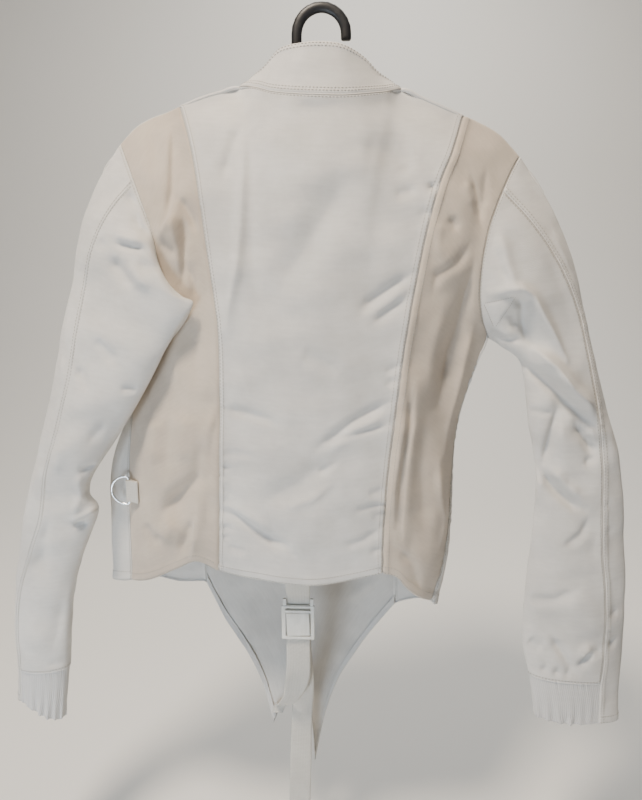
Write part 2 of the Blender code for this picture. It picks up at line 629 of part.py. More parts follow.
def spaced_rows(rows, shares):
    """Rows of a table read smoothly between its own, evenly along its first point's path."""
    fine = spline(rows)
    steps = np.linalg.norm(np.diff(fine[:, :3], axis=0), axis=1)
    along = np.concatenate([[0], np.cumsum(steps)]) / steps.sum()
    return np.array([[np.interp(s, along, fine[:, k]) for k in range(fine.shape[1])] for s in shares])


def sheet_tree(grids):
    """A search tree over sheets of points."""
    points, faces = [], []
    for grid in grids:
        start = len(points)
        rows, cols = grid.shape[:2]
        points += [Vector(p) for p in grid.reshape(-1, 3)]
        for i in range(rows - 1):
            for j in range(cols - 1):
                a = start + i * cols + j
                faces.append((a, a + 1, a + cols + 1, a + cols))
    return BVHTree.FromPolygons(points, faces)


def add_sleeves(cloth):
    """Each sleeve's outer and under panel, and the gathered band that closes the under panel."""
    torso = [cloth.grids[name] for name in ("back_centre", "back_side_left", "back_side_right")]
    tree = sheet_tree(torso)
    for side, table, cuff in (("left", SLEEVE_LEFT, CUFF_LEFT), ("right", SLEEVE_RIGHT, CUFF_RIGHT)):
        column = 0 if side == "left" else -1
        back = cloth.grids[f"back_side_{side}"][SIDE_ROWS:, column][::-1]
        front = cloth.grids[f"front_side_{side}"][SIDE_ROWS:, column]
        armhole = np.vstack([back, front[1:]])
        grid, end, outward = sleeve_sheet(table, armhole, cuff, side, tree)
        seam = BACK_SEAM_COLUMN[side]
        outer_columns = list(range(FRONT_SEAM_COLUMN, 2 * ARM_ROWS)) + list(range(seam + 1))
        strip = np.array([(1 - t) * grid[-1] + t * end for t in even(CUFF_ROWS)])
        whole = np.vstack([grid, strip[1:]])
        out_rows = np.broadcast_to(outward, whole.shape)
        flip = -1 if side == "right" else 1
        cloth.add(f"sleeve_{side}_outer", whole[:, outer_columns][:, ::flip], side,
                  out_rows[:, outer_columns][:, ::flip])
        under = slice(seam, FRONT_SEAM_COLUMN + 1)
        cloth.add(f"sleeve_{side}_under", grid[:, under][:, ::flip], side,
                  np.broadcast_to(outward, grid.shape)[:, under][:, ::flip])
        cloth.bands[side] = strip[:, under]


def band_mesh(side, strip):
    """The gathered knit band: a fine wall, its lower edge dropped by its table and fluted."""
    count = FLUTES * 4
    drops = CUFF_BAND_DROP[side]
    rows = []
    for i, t in enumerate(even(BAND_ROWS)):
        source = strip[0] * (1 - t) + strip[-1] * t
        line = spaced(source, even(count))
        for j in range(count + 1):
            u = j / count
            drop = np.interp(u, even(len(drops) - 1), drops)
            wave = math.sin(2 * math.pi * FLUTES * u) * t ** 2 * math.sin(math.pi * u) ** 0.5
            line[j, 2] -= t * drop + 0.8 * wave * wave * t
            line[j, 1] += FLUTE_DEPTH * wave
        rows.append(line)
    grid = np.array(rows)
    normals = grid_normals(grid)
    middle = grid.reshape(-1, 3).mean(axis=0)
    if np.mean([n @ (p - middle) for n, p in zip(normals.reshape(-1, 3), grid.reshape(-1, 3))]) < 0:
        normals = -normals
    inset = seam_inset(grid, normals, SEAM_GAP / 2 + 0.35)
    return wall_mesh(f"cuff_band_{side}", inset, normals, KNIT)


def hem_turn(name, panel, normals):
    """The turned hem inside a front's point, made from the panel's two lowest rows."""
    share = HEM_TURN / np.linalg.norm(panel[1] - panel[0], axis=1)
    steps = [0.0, 0.5, 1.0]
    grid = np.array([panel[0] + (panel[1] - panel[0]) * (share * s)[:, None] for s in steps])
    inward = np.array([normals[0]] * len(steps))
    grid = grid - inward * (CLOTH + LAYER_GAP)
    grid = seam_inset(grid, inward, 1.2)
    return wall_mesh(name, grid, inward, HEM_TURN_THICK)


def zip_tape(name, panel, normals, column, neighbour):
    """One tape of the zip, inside the opening's edge."""
    edge, beside = panel[ZIP_TAPE_ROW:, column], panel[ZIP_TAPE_ROW:, neighbour]
    share = ZIP_TAPE / np.linalg.norm(beside - edge, axis=1)
    grid = np.array([[e + (b - e) * s * t for t in (0.12, 1.0)] for e, b, s in zip(edge, beside, share)])
    inward = np.array([[n, n] for n in normals[ZIP_TAPE_ROW:, column]])
    return wall_mesh(name, grid - inward * (CLOTH + LAYER_GAP), inward, HEM_TURN_THICK)


def strip_mesh(name, rows, thickness, samples):
    """Webbing along a path of its own: x, y, z of the middle and width."""
    path = spaced_rows(rows, even(samples))
    grid = np.array([[(x + w * t, y, z) for t in (-0.5, 0, 0.5)] for x, y, z, w in path])
    return wall_mesh(name, grid, grid_normals(grid), thickness)


def swept(name, centres, half_width, half_depth, sides, closed=False, wide_axis=None):
    """A bar of rounded section along a path in a plane square to wide_axis."""
    mesh = bpy.data.meshes.new(name)
    bm = bmesh.new()
    count = len(centres)
    rings = []
    for i, centre in enumerate(centres):
        ahead = centres[(i + 1) % count] if closed or i < count - 1 else centres[i]
        behind = centres[i - 1] if closed or i else centres[i]
        along = unit(np.array(ahead, float) - np.array(behind, float))
        across = unit(np.cross(along, wide_axis))
        loop = []
        for k in range(sides):
            a = 2 * math.pi * (k + 0.5) / sides
            offset = half_width * math.cos(a) * across + half_depth * math.sin(a) * np.array(wide_axis, float)
            loop.append(bm.verts.new(Vector(np.array(centre, float) + offset) * MM))
        rings.append(loop)
    pairs = list(zip(rings, rings[1:])) + ([(rings[-1], rings[0])] if closed else [])
    for first, second in pairs:
        for k in range(sides):
            bm.faces.new((first[k], first[(k + 1) % sides], second[(k + 1) % sides], second[k]))
    if not closed:
        bm.faces.new(rings[0][::-1])
        bm.faces.new(rings[-1])
    bmesh.ops.recalc_face_normals(bm, faces=bm.faces)
    bm.to_mesh(mesh)
    bm.free()
    return mesh


def box_mesh(name, low, high, bevel=0.0):
    """A box between two corners, its edges eased."""
    mesh = bpy.data.meshes.new(name)
    bm = bmesh.new()
    bmesh.ops.create_cube(bm, size=1)
    size = (np.array(high, float) - np.array(low, float)) * MM
    centre = (np.array(high, float) + np.array(low, float)) / 2 * MM
    bmesh.ops.transform(bm, matrix=Matrix.Translation(centre) @ Matrix.Diagonal((*size, 1)), verts=bm.verts)
    if bevel:
        bmesh.ops.bevel(bm, geom=bm.edges, offset=bevel * MM, segments=1, affect="EDGES")
    bm.to_mesh(mesh)
    bm.free()
    return mesh


def boolean(item, meshes, operation):
    """Joins or cuts an object with guide objects, which stay out of the part."""
    for k, mesh in enumerate(meshes):
        guide = bpy.data.objects.new(f"{item.name}.guide{k}", mesh)
        bpy.context.scene.collection.objects.link(guide)
        guide.hide_render = True
        guide.display_type = "WIRE"
        step = item.modifiers.new(f"{operation}{k}", "BOOLEAN")
        step.operation = operation
        step.object = guide


def framed_mesh(name, outer, inner, low, high, place):
    """A plate with one window: two loops of equal count, from low to high along the third axis."""
    mesh = bpy.data.meshes.new(name)
    bm = bmesh.new()
    loops = [[bm.verts.new(Vector(place(a, b, level)) * MM) for a, b in loop]
             for loop, level in ((outer, low), (outer, high), (inner, high), (inner, low))]
    for first, second in zip(loops, loops[1:] + loops[:1]):
        for k in range(len(outer)):
            n = (k + 1) % len(outer)
            bm.faces.new((first[k], first[n], second[n], second[k]))
    bmesh.ops.recalc_face_normals(bm, faces=bm.faces)
    bm.to_mesh(mesh)
    bm.free()
    return mesh


def rounded_box_loop(x0, x1, y0, y1, radius, steps=2):
    """Points once round a rectangle with rounded corners."""
    out = []
    for cx, cy, start in ((x1 - radius, y1 - radius, 0), (x0 + radius, y1 - radius, 90),
                          (x0 + radius, y0 + radius, 180), (x1 - radius, y0 + radius, 270)):
        for k in range(steps + 1):
            a = math.radians(start + 90 * k / steps)
            out.append((cx + radius * math.cos(a), cy + radius * math.sin(a)))
    return out


def seated(tree, row, toward, clearance):
    """The row's y just inside the cloth over its whole width, towards the back (-1) or front (1)."""
    x, y, z, width = row
    hits = [tree.ray_cast(Vector((x + width * t, 0, z)), Vector((0, toward, 0)))[0] for t in (-0.5, 0, 0.5)]
    levels = [toward * hit.y for hit in hits if hit]
    return toward * (min(levels) - clearance) if levels else y


def build_cloth():
    """Every panel as its own wall, parted from its neighbours at the seams."""
    cloth = Cloth()
    edges, neck = torso_edges(), neck_edges()
    add_torso(cloth, edges, neck)
    add_collar(cloth, neck)
    cloth.raise_folds()
    add_sleeves(cloth)
    white = material("white_cotton", WHITE_CLOTH, 0.9)
    stretch = material("stretch_cloth", STRETCH_CLOTH, 0.92)
    normals = cloth.normals()
    for name, grid in cloth.grids.items():
        inset = seam_inset(grid, normals[name], SEAM_GAP / 2)
        finish = stretch if name.startswith("back_side") else white
        add_object(name, wall_mesh(name, inset, normals[name], CLOTH), finish)
    knit = material("rib_knit", RIB_KNIT, 0.9)
    for side, strip in cloth.bands.items():
        add_object(f"cuff_band_{side}", band_mesh(side, strip), knit)
    return cloth, normals


def build_inside(cloth, normals):
    """What is sewn inside the fronts: the turned hems of the point and the zip's tapes."""
    white = material("white_cotton", WHITE_CLOTH, 0.9)
    tape = material("zip_tape", WEB_WHITE, 0.8)
    for side, column, beside in (("left", -1, -2), ("right", 0, 1)):
        panel, out = cloth.grids[f"front_{side}"], normals[f"front_{side}"]
        add_object(f"hem_turn_{side}", hem_turn(f"hem_turn_{side}", panel, out), white)
        add_object(f"zip_tape_{side}", zip_tape(f"zip_tape_{side}", panel, out, column, beside), tape)


def chain_path():
    """The line midway between the two opening edges, from the zip's lower end to its top."""
    fine = spline(FRONT_EDGE)
    shown = [point for point in fine if ZIP_CHAIN["bottom"] < point[2] < ZIP_CHAIN["top"]]
    return spaced(shown, even(ZIP_CHAIN["rows"]))


def build_zip():
    """The chain between the fronts, its slider with a bridge, and the pull that swings in it."""
    steel = material("zip_metal", STEEL, 0.35, 1.0)
    path = chain_path()
    grid = np.array([[p + np.array([ZIP_CHAIN["width"] * t, 0, 0]) for t in (-0.5, 0.5)] for p in path])
    normals = np.broadcast_to(OUT_FRONT, grid.shape)
    chain = wall_mesh("zip_chain", grid, normals, ZIP_CHAIN["thick"])
    add_object("zip_chain", chain, material("zip_teeth", PLASTIC_WHITE, 0.5))

    fine = spline(path.tolist())
    middle = fine[int(np.argmin(np.abs(fine[:, 2] - SLIDER["z"])))]
    x, z = middle[0], SLIDER["z"]
    base = middle[1] + LAYER_GAP
    top = base + SLIDER["thick"]
    half_w, half_h = SLIDER["width"] / 2, SLIDER["height"] / 2
    plate = box_mesh("zip_slider", (x - half_w, base, z - half_h), (x + half_w, top, z + half_h), 0.4)
    slider = add_object("zip_slider", plate, steel)
    rise = SLIDER["room"] + SLIDER["arch"]
    reach = half_h - 2.0
    arch = SLIDER["arch"]
    legs = [
        box_mesh("leg_low", (x - SLIDER["bridge"] / 2, top - 0.5, z - reach),
                 (x + SLIDER["bridge"] / 2, top + rise, z - reach + arch)),
        box_mesh("leg_high", (x - SLIDER["bridge"] / 2, top - 0.5, z + reach - arch),
                 (x + SLIDER["bridge"] / 2, top + rise, z + reach)),
        box_mesh("beam", (x - SLIDER["bridge"] / 2, top + SLIDER["room"], z - reach),
                 (x + SLIDER["bridge"] / 2, top + rise, z + reach)),
    ]
    boolean(slider, legs, "UNION")

    axis_z = z - reach + arch + PULL["bar"] / 2 + 0.3
    axis_y = top + SLIDER["room"] / 2
    half = PULL["width"] / 2
    eye = PULL["eye"] / 2
    bar = PULL["bar"]
    outer = rounded_box_loop(-half, half, -PULL["length"], bar / 2, 1.0)
    inner = rounded_box_loop(-eye, eye, -bar / 2 - PULL["eye_length"], -bar / 2, 0.3)
    thick = PULL["thick"] / 2
    mesh = framed_mesh("zip_pull", outer, inner, -thick, thick, lambda a, b, level: (a, level, b))
    pull = add_object("zip_pull", mesh, steel)
    pull.location = Vector((x, axis_y, axis_z)) * MM


def build_strap(trees):
    """The crotch strap: from under the back hem through the buckle to the left front's tip, and its tail."""
    web = material("webbing", WEB_WHITE, 0.8)
    upper = [list(row) for row in STRAP_UPPER]
    for row in upper[:2]:
        row[1] = seated(trees["back_inside"], row, -1, 2 * LAYER_GAP + WEBBING)
    add_object("strap_upper", strip_mesh("strap_upper", upper, WEBBING, 8), web)
    lower = [list(row) for row in STRAP_LOWER]
    for row in lower[-2:]:
        row[1] = seated(trees["front_inside"], row, 1, HEM_TURN_THICK + 3 * LAYER_GAP)
    add_object("strap_lower", strip_mesh("strap_lower", lower, WEBBING, STRAP_ROWS), web)
    add_object("strap_tail", strip_mesh("strap_tail", STRAP_TAIL, WEBBING, STRAP_ROWS), web)


def build_buckle():
    """A moulded cam buckle: a frame with two windows and two prongs, and the flap that grips the web."""
    white = material("buckle_plastic", PLASTIC_WHITE, 0.35)
    x, half = BUCKLE["x"], BUCKLE["width"] / 2
    low, high = BUCKLE["y"] - BUCKLE["thick"] / 2, BUCKLE["y"] + BUCKLE["thick"] / 2
    frame = add_object("buckle_frame", box_mesh("buckle_frame", (x - half, low, BUCKLE["bottom"]),
                                                (x + half, high, BUCKLE["top"]), 0.8), white, smooth=False)
    prongs = []
    for side in (-1, 1):
        middle = x + side * (half - BUCKLE_PRONG["inset"])
        wide = BUCKLE_PRONG["width"] / 2
        prongs.append(box_mesh("prong", (middle - wide, low + 0.4, BUCKLE["top"] - 2),
                               (middle + wide, high - 0.4, BUCKLE["top"] + BUCKLE_PRONG["length"])))
    boolean(frame, prongs, "UNION")
    windows = [box_mesh("window", (x - half + BUCKLE["rail"], low - 1, z0), (x + half - BUCKLE["rail"], high + 1, z1))
               for z0, z1 in BUCKLE_WINDOWS]
    boolean(frame, windows, "DIFFERENCE")

    z0 = (BUCKLE_WINDOWS[1][0] + BUCKLE_WINDOWS[1][1]) / 2
    size = np.array([FLAP["width"] / 2, FLAP["thick"] / 2, FLAP["height"] / 2])
    flap = add_object("buckle_flap", box_mesh("buckle_flap", -size, size, 0.7), white, smooth=False)
    flap.location = Vector((x, BUCKLE["y"] - 0.5, z0)) * MM
    flap.rotation_euler = (0, math.radians(-FLAP["tilt"]), 0)


def build_ring(trees):
    """The D-shaped ring and the doubled webbing tab that holds its straight side."""
    x, z, wire = D_RING["x"], D_RING["z"], D_RING["wire"] / 2
    eye, outer = D_TAB["eye"], D_TAB["eye"] + D_TAB["web"]

    def cloth_at(px):
        """The foremost cloth under the tab's height at one x."""
        rays = [trees["outside"].ray_cast(Vector((px, -400, z + level)), Vector((0, 1, 0)))[0]
                for level in (-D_TAB["height"] / 2, 0, D_TAB["height"] / 2)]
        return min(hit.y for hit in rays)

    near, far = np.array([x + 1, cloth_at(x + 1)]), np.array([x + 14, cloth_at(x + 14)])
    along = (far - near) / np.linalg.norm(far - near)
    inward = np.array([-along[1], along[0]])
    sag = max(float((np.array([px, cloth_at(px)]) - near) @ -inward) for px in (x - 2, x + 4, x + 8, x + 11))
    middle = near - inward * (outer + LAYER_GAP + max(0, sag)) - along

    half = D_RING["bar"] / 2 + wire
    reach, corner = D_RING["reach"], D_RING["corner"]
    path = [(0, t * (half - corner)) for t in (-1, -0.5, 0, 0.5, 1)]
    path += [(-corner * (1 - math.cos(math.radians(a))), half - corner + corner * math.sin(math.radians(a)))
             for a in (30, 60, 90)]
    path += [(-corner - (reach - corner) * math.sin(math.radians(a)), half * math.cos(math.radians(a)))
             for a in range(15, 166, 15)]
    path += [(-corner * (1 - math.cos(math.radians(a))), -half + corner - corner * math.sin(math.radians(a)))
             for a in (90, 60, 30)]
    centres = [(px, 0, pz) for px, pz in path]
    mesh = swept("d_ring", centres, wire, wire, D_RING_SIDES, True, (0, 1, 0))
    ring_object = add_object("d_ring", mesh, material("ring_steel", STEEL, 0.3, 1.0))
    ring_object.location = Vector((middle[0], middle[1], z)) * MM

    turns = [math.radians(45 + 270 * k / 9) for k in range(10)]
    hole = [(eye * math.cos(a), eye * math.sin(a)) for a in turns] + [(eye * 0.95, -0.3), (eye * 0.95, 0.3)]
    shape = [(outer * math.cos(a), outer * math.sin(a)) for a in turns]
    shape += [(outer + D_TAB["tail"], outer * 0.25), (outer + D_TAB["tail"], outer * 0.96)]
    tab = D_TAB["height"] / 2

    def place(a, b, level):
        spot = middle + along * a + inward * b
        return spot[0], spot[1], z + level

    mesh = framed_mesh("d_ring_tab", shape, hole, -tab, tab, place)
    add_object("d_ring_tab", mesh, material("webbing", WEB_WHITE, 0.8))


def build_hanger(trees):
    """The moulded hanger: arms that follow the shoulders from inside, a neck and an open hook."""
    black = material("hanger_plastic", PLASTIC_BLACK, 0.45)
    stations = np.linspace(HANGER["tip_left"], HANGER["tip_right"], 19)
    wide, deep = HANGER["wide"] / 2, HANGER["deep"] / 2
    path = []
    for x in stations:
        roof = []
        for dx in (-6, 0, 6):
            for y in (-wide - 1, -wide / 2, 0, wide / 2, wide + 1):
                hit = trees["inside_all"].ray_cast(Vector((x + dx, y, -180)), Vector((0, 0, 1)))[0]
                if hit:
                    roof.append(hit.z)
        neck = HANGER["neck_z"] - deep - 3 - abs(x) * 0.1
        path.append((x, 0, min([neck] + [z - HANGER["clear"] - deep for z in roof])))
    arms = swept("hanger", path, deep, wide, 8, False, (0, 1, 0))
    hanger = add_object("hanger", arms, black)
    radius = HOOK["inner"] + HOOK["bar"] / 2
    centre = -HOOK["inner"]
    hook = [(radius, 0, centre - HOOK["tip_drop"])]
    hook += [(radius * math.cos(math.radians(a)), 0, centre + radius * math.sin(math.radians(a)))
             for a in range(0, 181, 15)]
    bottom = centre - HOOK["leg_drop"]
    hook += [(-radius, 0, bottom), (-radius + 4, 0, bottom - 8), (-radius + 11, 0, bottom - 14),
             (-radius + 18, 0, bottom - 19), (-radius + 20, 0, bottom - 30)]
    boolean(hanger, [swept("hook", hook, HOOK["bar"] / 2, HOOK["thick"] / 2, 8, False, (0, 1, 0))], "UNION")


def main():
    clear_scene()
    cloth, normals = build_cloth()
    inner = {name: cloth.grids[name] - CLOTH * normals[name] for name in cloth.grids}
    body = ("back_centre", "back_side_left", "back_side_right", "front_side_left", "front_side_right",
            "front_left", "front_right")
    trees = {
        "back_inside": sheet_tree([inner["back_centre"]]),
        "front_inside": sheet_tree([inner["front_left"]]),
        "inside_all": sheet_tree([inner[name] for name in (*body, "collar")]),
        "outside": sheet_tree([cloth.grids[name] for name in body]),
    }
    build_inside(cloth, normals)
    build_zip()
    build_strap(trees)
    build_buckle()
    build_ring(trees)
    build_hanger(trees)


main()
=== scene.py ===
# %% [markdown]
# # A white fencing jacket on its hanger
#
# The imported model gives every panel of the jacket as a plain wall, 1.5 mm thick, with points about
# 20 mm apart.  This lesson dresses it.  Each panel becomes a fine shell on its solid's own form, with the
# creases placed one by one, then sewing, webbing, zip teeth and the hard pieces get their finish.
# +X is the wearer's right, the back of the jacket faces -Y, and lengths in tables are in millimetres.

# %% Load the frame
import math

import bmesh
import bpy
import numpy as np
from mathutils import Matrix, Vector
from mathutils.bvhtree import BVHTree


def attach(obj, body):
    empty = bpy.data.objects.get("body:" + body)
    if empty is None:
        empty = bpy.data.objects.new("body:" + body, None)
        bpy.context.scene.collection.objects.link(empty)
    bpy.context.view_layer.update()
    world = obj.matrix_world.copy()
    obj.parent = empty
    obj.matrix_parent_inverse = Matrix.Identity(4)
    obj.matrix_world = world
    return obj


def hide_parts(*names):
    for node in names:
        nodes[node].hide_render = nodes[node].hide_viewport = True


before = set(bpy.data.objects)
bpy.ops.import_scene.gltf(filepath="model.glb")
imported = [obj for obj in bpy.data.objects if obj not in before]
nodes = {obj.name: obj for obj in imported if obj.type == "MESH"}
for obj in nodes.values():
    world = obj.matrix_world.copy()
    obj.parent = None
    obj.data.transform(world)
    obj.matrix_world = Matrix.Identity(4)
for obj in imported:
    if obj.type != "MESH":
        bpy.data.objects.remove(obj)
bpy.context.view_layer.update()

MM = 0.001

# %% [markdown]
# ## Camera, floor and light
#
# The photograph was taken from close by, about 0.6 m away and a little above the middle of the back, so
# the collar and the strap are seen at slants.  A real lens of 29 mm at that place gives the same slants;
# a longer lens from further off would flatten them.  The jacket hangs, so the floor lies below the tail
# and a pale sweep rises behind it.  The light is one large warm lamp from above the camera and a weaker,
# cooler one from below, because the photograph turns from warm at the shoulders to cool at the cuffs.

# %% Camera
PICTURE = (642, 800)
camera = bpy.data.objects.new("camera", bpy.data.cameras.new("camera"))
bpy.context.scene.collection.objects.link(camera)
bpy.context.scene.camera = camera
camera.location = (0.029, -0.67, -0.242)
camera.rotation_euler = (math.radians(90 - 10.9), 0, math.radians(2.5))
camera.data.sensor_width = 36
camera.data.lens = 29.25
camera.data.clip_start = 0.01
lens_angle = math.degrees(2 * math.atan(camera.data.sensor_width / 2 / camera.data.lens))
print("picture", PICTURE, "the lens sees", round(lens_angle, 1), "degrees")


# %% Floor and sweep
def add_mesh(name, points, faces, smooth=True):
    """A new mesh object from points in metres and faces as point numbers."""
    mesh = bpy.data.meshes.new(name)
    mesh.from_pydata([tuple(p) for p in points], [], [tuple(int(i) for i in f) for f in faces])
    mesh.validate()
    made = bpy.data.objects.new(name, mesh)
    bpy.context.scene.collection.objects.link(made)
    if smooth:
        mesh.shade_smooth()
    return made


FLOOR = -0.96
profile = [(-6, FLOOR), (1.2, FLOOR)]
profile += [(1.2 + 1.2 * math.sin(math.radians(a)), FLOOR + 1.2 * (1 - math.cos(math.radians(a))))
            for a in range(10, 91, 10)]
profile += [(2.4, 5)]
sweep_points = [(x, y, z) for y, z in profile for x in (-7, 7)]
sweep_faces = [(2 * i, 2 * i + 1, 2 * i + 3, 2 * i + 2) for i in range(len(profile) - 1)]
sweep = add_mesh("studio_sweep", sweep_points, sweep_faces)
print("floor at", FLOOR, "m")


# %% Light
def lamp(name, place, size, power, colour, target=(0, 0, -0.4)):
    """A large soft lamp that faces the jacket."""
    light = bpy.data.lights.new(name, "AREA")
    light.shape = "DISK"
    light.size, light.energy, light.color = size, power, colour
    item = bpy.data.objects.new(name, light)
    bpy.context.scene.collection.objects.link(item)
    item.location = place
    item.rotation_euler = (Vector(place) - Vector(target)).to_track_quat("Z", "Y").to_euler()
    return item


lamp("warm_above", (-0.45, -0.78, 1.20), 0.4, 50, (1.0, 0.86, 0.70), target=(0, 0, -0.3))
lamp("cool_below", (-0.6, -1.1, -0.9), 0.6, 15, (0.70, 0.84, 1.0))
lamp("behind", (0.2, 1.0, 1.3), 1.6, 34, (1.0, 0.97, 0.92), target=(0, 1.6, -0.6))
world = bpy.context.scene.world or bpy.data.worlds.new("soft_room")
bpy.context.scene.world = world
world.use_nodes = True
world.node_tree.nodes["Background"].inputs["Color"].default_value = (0.86, 0.91, 1.0, 1)
world.node_tree.nodes["Background"].inputs["Strength"].default_value = 0.15

# %% [markdown]
# ## A small language for finishes
#
# A finish is a net of shader nodes.  Written by hand, each sum takes three lines and the idea is lost.
# `Reading` wraps one socket of a node and lets sums be written as sums, and `Finish.add` makes any other
# node from its kind, its settings and its inputs.  Numbers that are the same all over go straight onto
# the shader's own sockets.


# %% Readings and finishes
class Reading:
    """A value that varies over a surface: sums on it add Math nodes."""

    def __init__(self, finish, socket):
        self.finish, self.socket = finish, socket

    def math(self, operation, *others):
        values = {0: self, **{k + 1: other for k, other in enumerate(others)}}
        return self.finish.add("ShaderNodeMath", {"operation": operation}, values)

    def swapped(self, operation, other):
        return self.finish.add("ShaderNodeMath", {"operation": operation}, {0: other, 1: self})

    def __add__(self, other):
        return self.math("ADD", other)

    def __sub__(self, other):
        return self.math("SUBTRACT", other)

    def __mul__(self, other):
        return self.math("MULTIPLY", other)

    def __rsub__(self, other):
        return self.swapped("SUBTRACT", other)

    __radd__, __rmul__ = __add__, __mul__

    def wave(self, pitch):
        """From -1 to 1 and back once in each pitch, in metres."""
        return (self * (2 * math.pi / pitch)).math("SINE")

    def within(self, low, high):
        """0 below low, 1 above high, and smooth between them."""
        return self.finish.add("ShaderNodeMapRange", {"interpolation_type": "SMOOTHSTEP"},
                               {"Value": self, "From Min": low, "From Max": high})


class Finish:
    """One material and the nodes that it is made of."""

    def __init__(self, name, **same_all_over):
        self.material = bpy.data.materials.new(name)
        self.material.use_nodes = True
        self.tree = self.material.node_tree
        self.shader = self.tree.nodes["Principled BSDF"]
        for socket, value in same_all_over.items():
            self.put(self.shader.inputs[socket.replace("_", " ")], value)

    def put(self, socket, value):
        if isinstance(value, Reading):
            self.tree.links.new(value.socket, socket)
        else:
            socket.default_value = value

    def add(self, kind, settings=None, inputs=None, out=0):
        node = self.tree.nodes.new(kind)
        for name, value in (settings or {}).items():
            setattr(node, name, value)
        for name, value in (inputs or {}).items():
            self.put(node.inputs[name], value)
        return Reading(self, node.outputs[out])

    def blend(self, share, first, second):
        """A colour between two colours."""
        return self.add("ShaderNodeMix", {"data_type": "RGBA"}, {0: share, 6: first, 7: second}, 2)

    def cloth_place(self):
        """Metres across and along the cut piece, from the map that every shell carries."""
        uv = self.add("ShaderNodeUVMap", {"uv_map": "cut"})
        return (uv, *(self.add("ShaderNodeSeparateXYZ", {}, {0: uv}, out) for out in (0, 1)))

    def room_place(self):
        return self.add("ShaderNodeTexCoord", {}, {}, 3)

    def noise(self, place, size, detail=3.0, rough=0.55, stretch=(1, 1, 1)):
        """Soft random change, about 0 to 1, with features of a size in metres."""
        spread = self.add("ShaderNodeVectorMath", {"operation": "MULTIPLY"}, {0: place, 1: stretch})
        return self.add("ShaderNodeTexNoise", {},
                        {"Vector": spread, "Scale": 1 / size, "Detail": detail, "Roughness": rough})

    def colour(self, value):
        self.put(self.shader.inputs["Base Color"], value)

    def roughness(self, value):
        self.put(self.shader.inputs["Roughness"], value)

    def relief(self, height, distance, strength=1.0):
        """A Bump node: height from 0 to 1 stands for a distance in metres."""
        bump = self.add("ShaderNodeBump", {}, {"Height": height, "Distance": distance, "Strength": strength})
        self.put(self.shader.inputs["Normal"], bump)


# %% [markdown]
# ## Cotton and stretch cloth
#
# The jacket's white is a tightly woven cotton drill: from 0.6 m away its threads can't be told apart, but
# it isn't flat.  Thicker threads make short streaks along the weft, and handling has dulled it in soft
# patches.  So the finish has three scales: a weave of 0.8 mm in the relief, slubs of a few millimetres in
# relief and colour, and slow patches some centimetres wide in colour and roughness.  The map `cut` runs
# in metres along the cut piece, so the threads follow each panel and not the room.


# %% Woven finishes
def woven(name, light, dark, thread, slub, sheen, rough):
    """A woven cloth: two colours that it wanders between, and the sizes of its thread and slubs."""
    made = Finish(name, Sheen_Weight=sheen, Sheen_Roughness=0.5, IOR=1.45, Specular_IOR_Level=0.25)
    uv, across, along = made.cloth_place()
    weave = across.wave(thread) * along.wave(thread)
    twill = (across + along).wave(thread * 2)
    streaks = made.noise(uv, slub, 2.0, 0.6, (0.22, 1.0, 1.0))
    fuzz = made.noise(uv, slub * 0.35, 2.0, 0.7)
    room = made.room_place()
    patches = made.noise(room, 0.09, 3.0, 0.6)
    wear = made.noise(room, 0.021, 3.0, 0.65)
    share = (patches * 0.62 + streaks * 0.22 + wear * 0.3).within(0.36, 0.78)
    made.colour(made.blend(share, (*dark, 1), (*light, 1)))
    made.roughness(rough - 0.10 + patches * 0.14 + streaks * 0.05)
    made.relief(weave * 0.16 + twill * 0.08 + streaks * 0.5 + fuzz * 0.22, 0.00042, 0.8)
    return made


def spotted(made, spots):
    """Small old marks: each is a place in millimetres, a radius and a strength."""
    link = made.shader.inputs["Base Color"].links[0].from_socket
    tint, room = Reading(made, link), made.room_place()
    ragged = made.noise(room, 0.0016, 2.0)
    for place, radius, strength, stain in spots:
        far = made.add("ShaderNodeVectorMath", {"operation": "DISTANCE"},
                       {0: room, 1: tuple(v * MM for v in place)}, 1)
        mark = 1 - (far + ragged * (radius * 0.7 * MM)).within(radius * 0.4 * MM, radius * 1.3 * MM)
        tint = made.blend(mark * strength, tint, (*stain, 1))
    made.colour(tint)
    return made


SPOTS = [
    ((246, -41, -612), 2.0, 0.75, (0.20, 0.14, 0.11)), ((249, -41, -613), 1.6, 0.4, (0.30, 0.24, 0.2)),
    ((260, -40, -616), 2.6, 0.22, (0.42, 0.40, 0.38)), ((308, -34, -562), 2.2, 0.30, (0.45, 0.40, 0.34)),
    ((-29, -56, -411), 1.0, 0.8, (0.08, 0.07, 0.07)), ((236, -40, -520), 3.0, 0.12, (0.5, 0.48, 0.44)),
    ((-252, -34, -436), 1.0, 0.5, (0.2, 0.18, 0.17)), ((55, -50, -216), 1.0, 0.4, (0.25, 0.22, 0.2)),
]
cotton = woven("white_cotton_drill", (0.76, 0.74, 0.70), (0.62, 0.60, 0.565), 0.0008, 0.0042, 0.25, 0.90)
cotton = spotted(cotton, SPOTS)
inside_cotton = woven(
    "white_cotton_inside", (0.74, 0.73, 0.71), (0.64, 0.63, 0.61), 0.0008, 0.0046, 0.2, 0.92)
stretch = woven("beige_stretch_cloth", (0.62, 0.535, 0.44), (0.50, 0.425, 0.345), 0.0010, 0.0030, 0.45, 0.86)
print("woven finishes", [f.material.name for f in (cotton, inside_cotton, stretch)])

# %% [markdown]
# ## Rib knit, webbing, thread, plastic and metal
#
# The wrist bands are an elastic rib: raised wales about 2 mm apart that run down the band, with fine
# courses across.  Webbing has ribs across it and a firm edge.  The buckle is white moulded plastic, a bit
# yellowed and scuffed, the hanger a black one with a fine grain.  The ring and the slider are plated, so
# what shows is mostly what they reflect, broken by small scratches in the roughness.

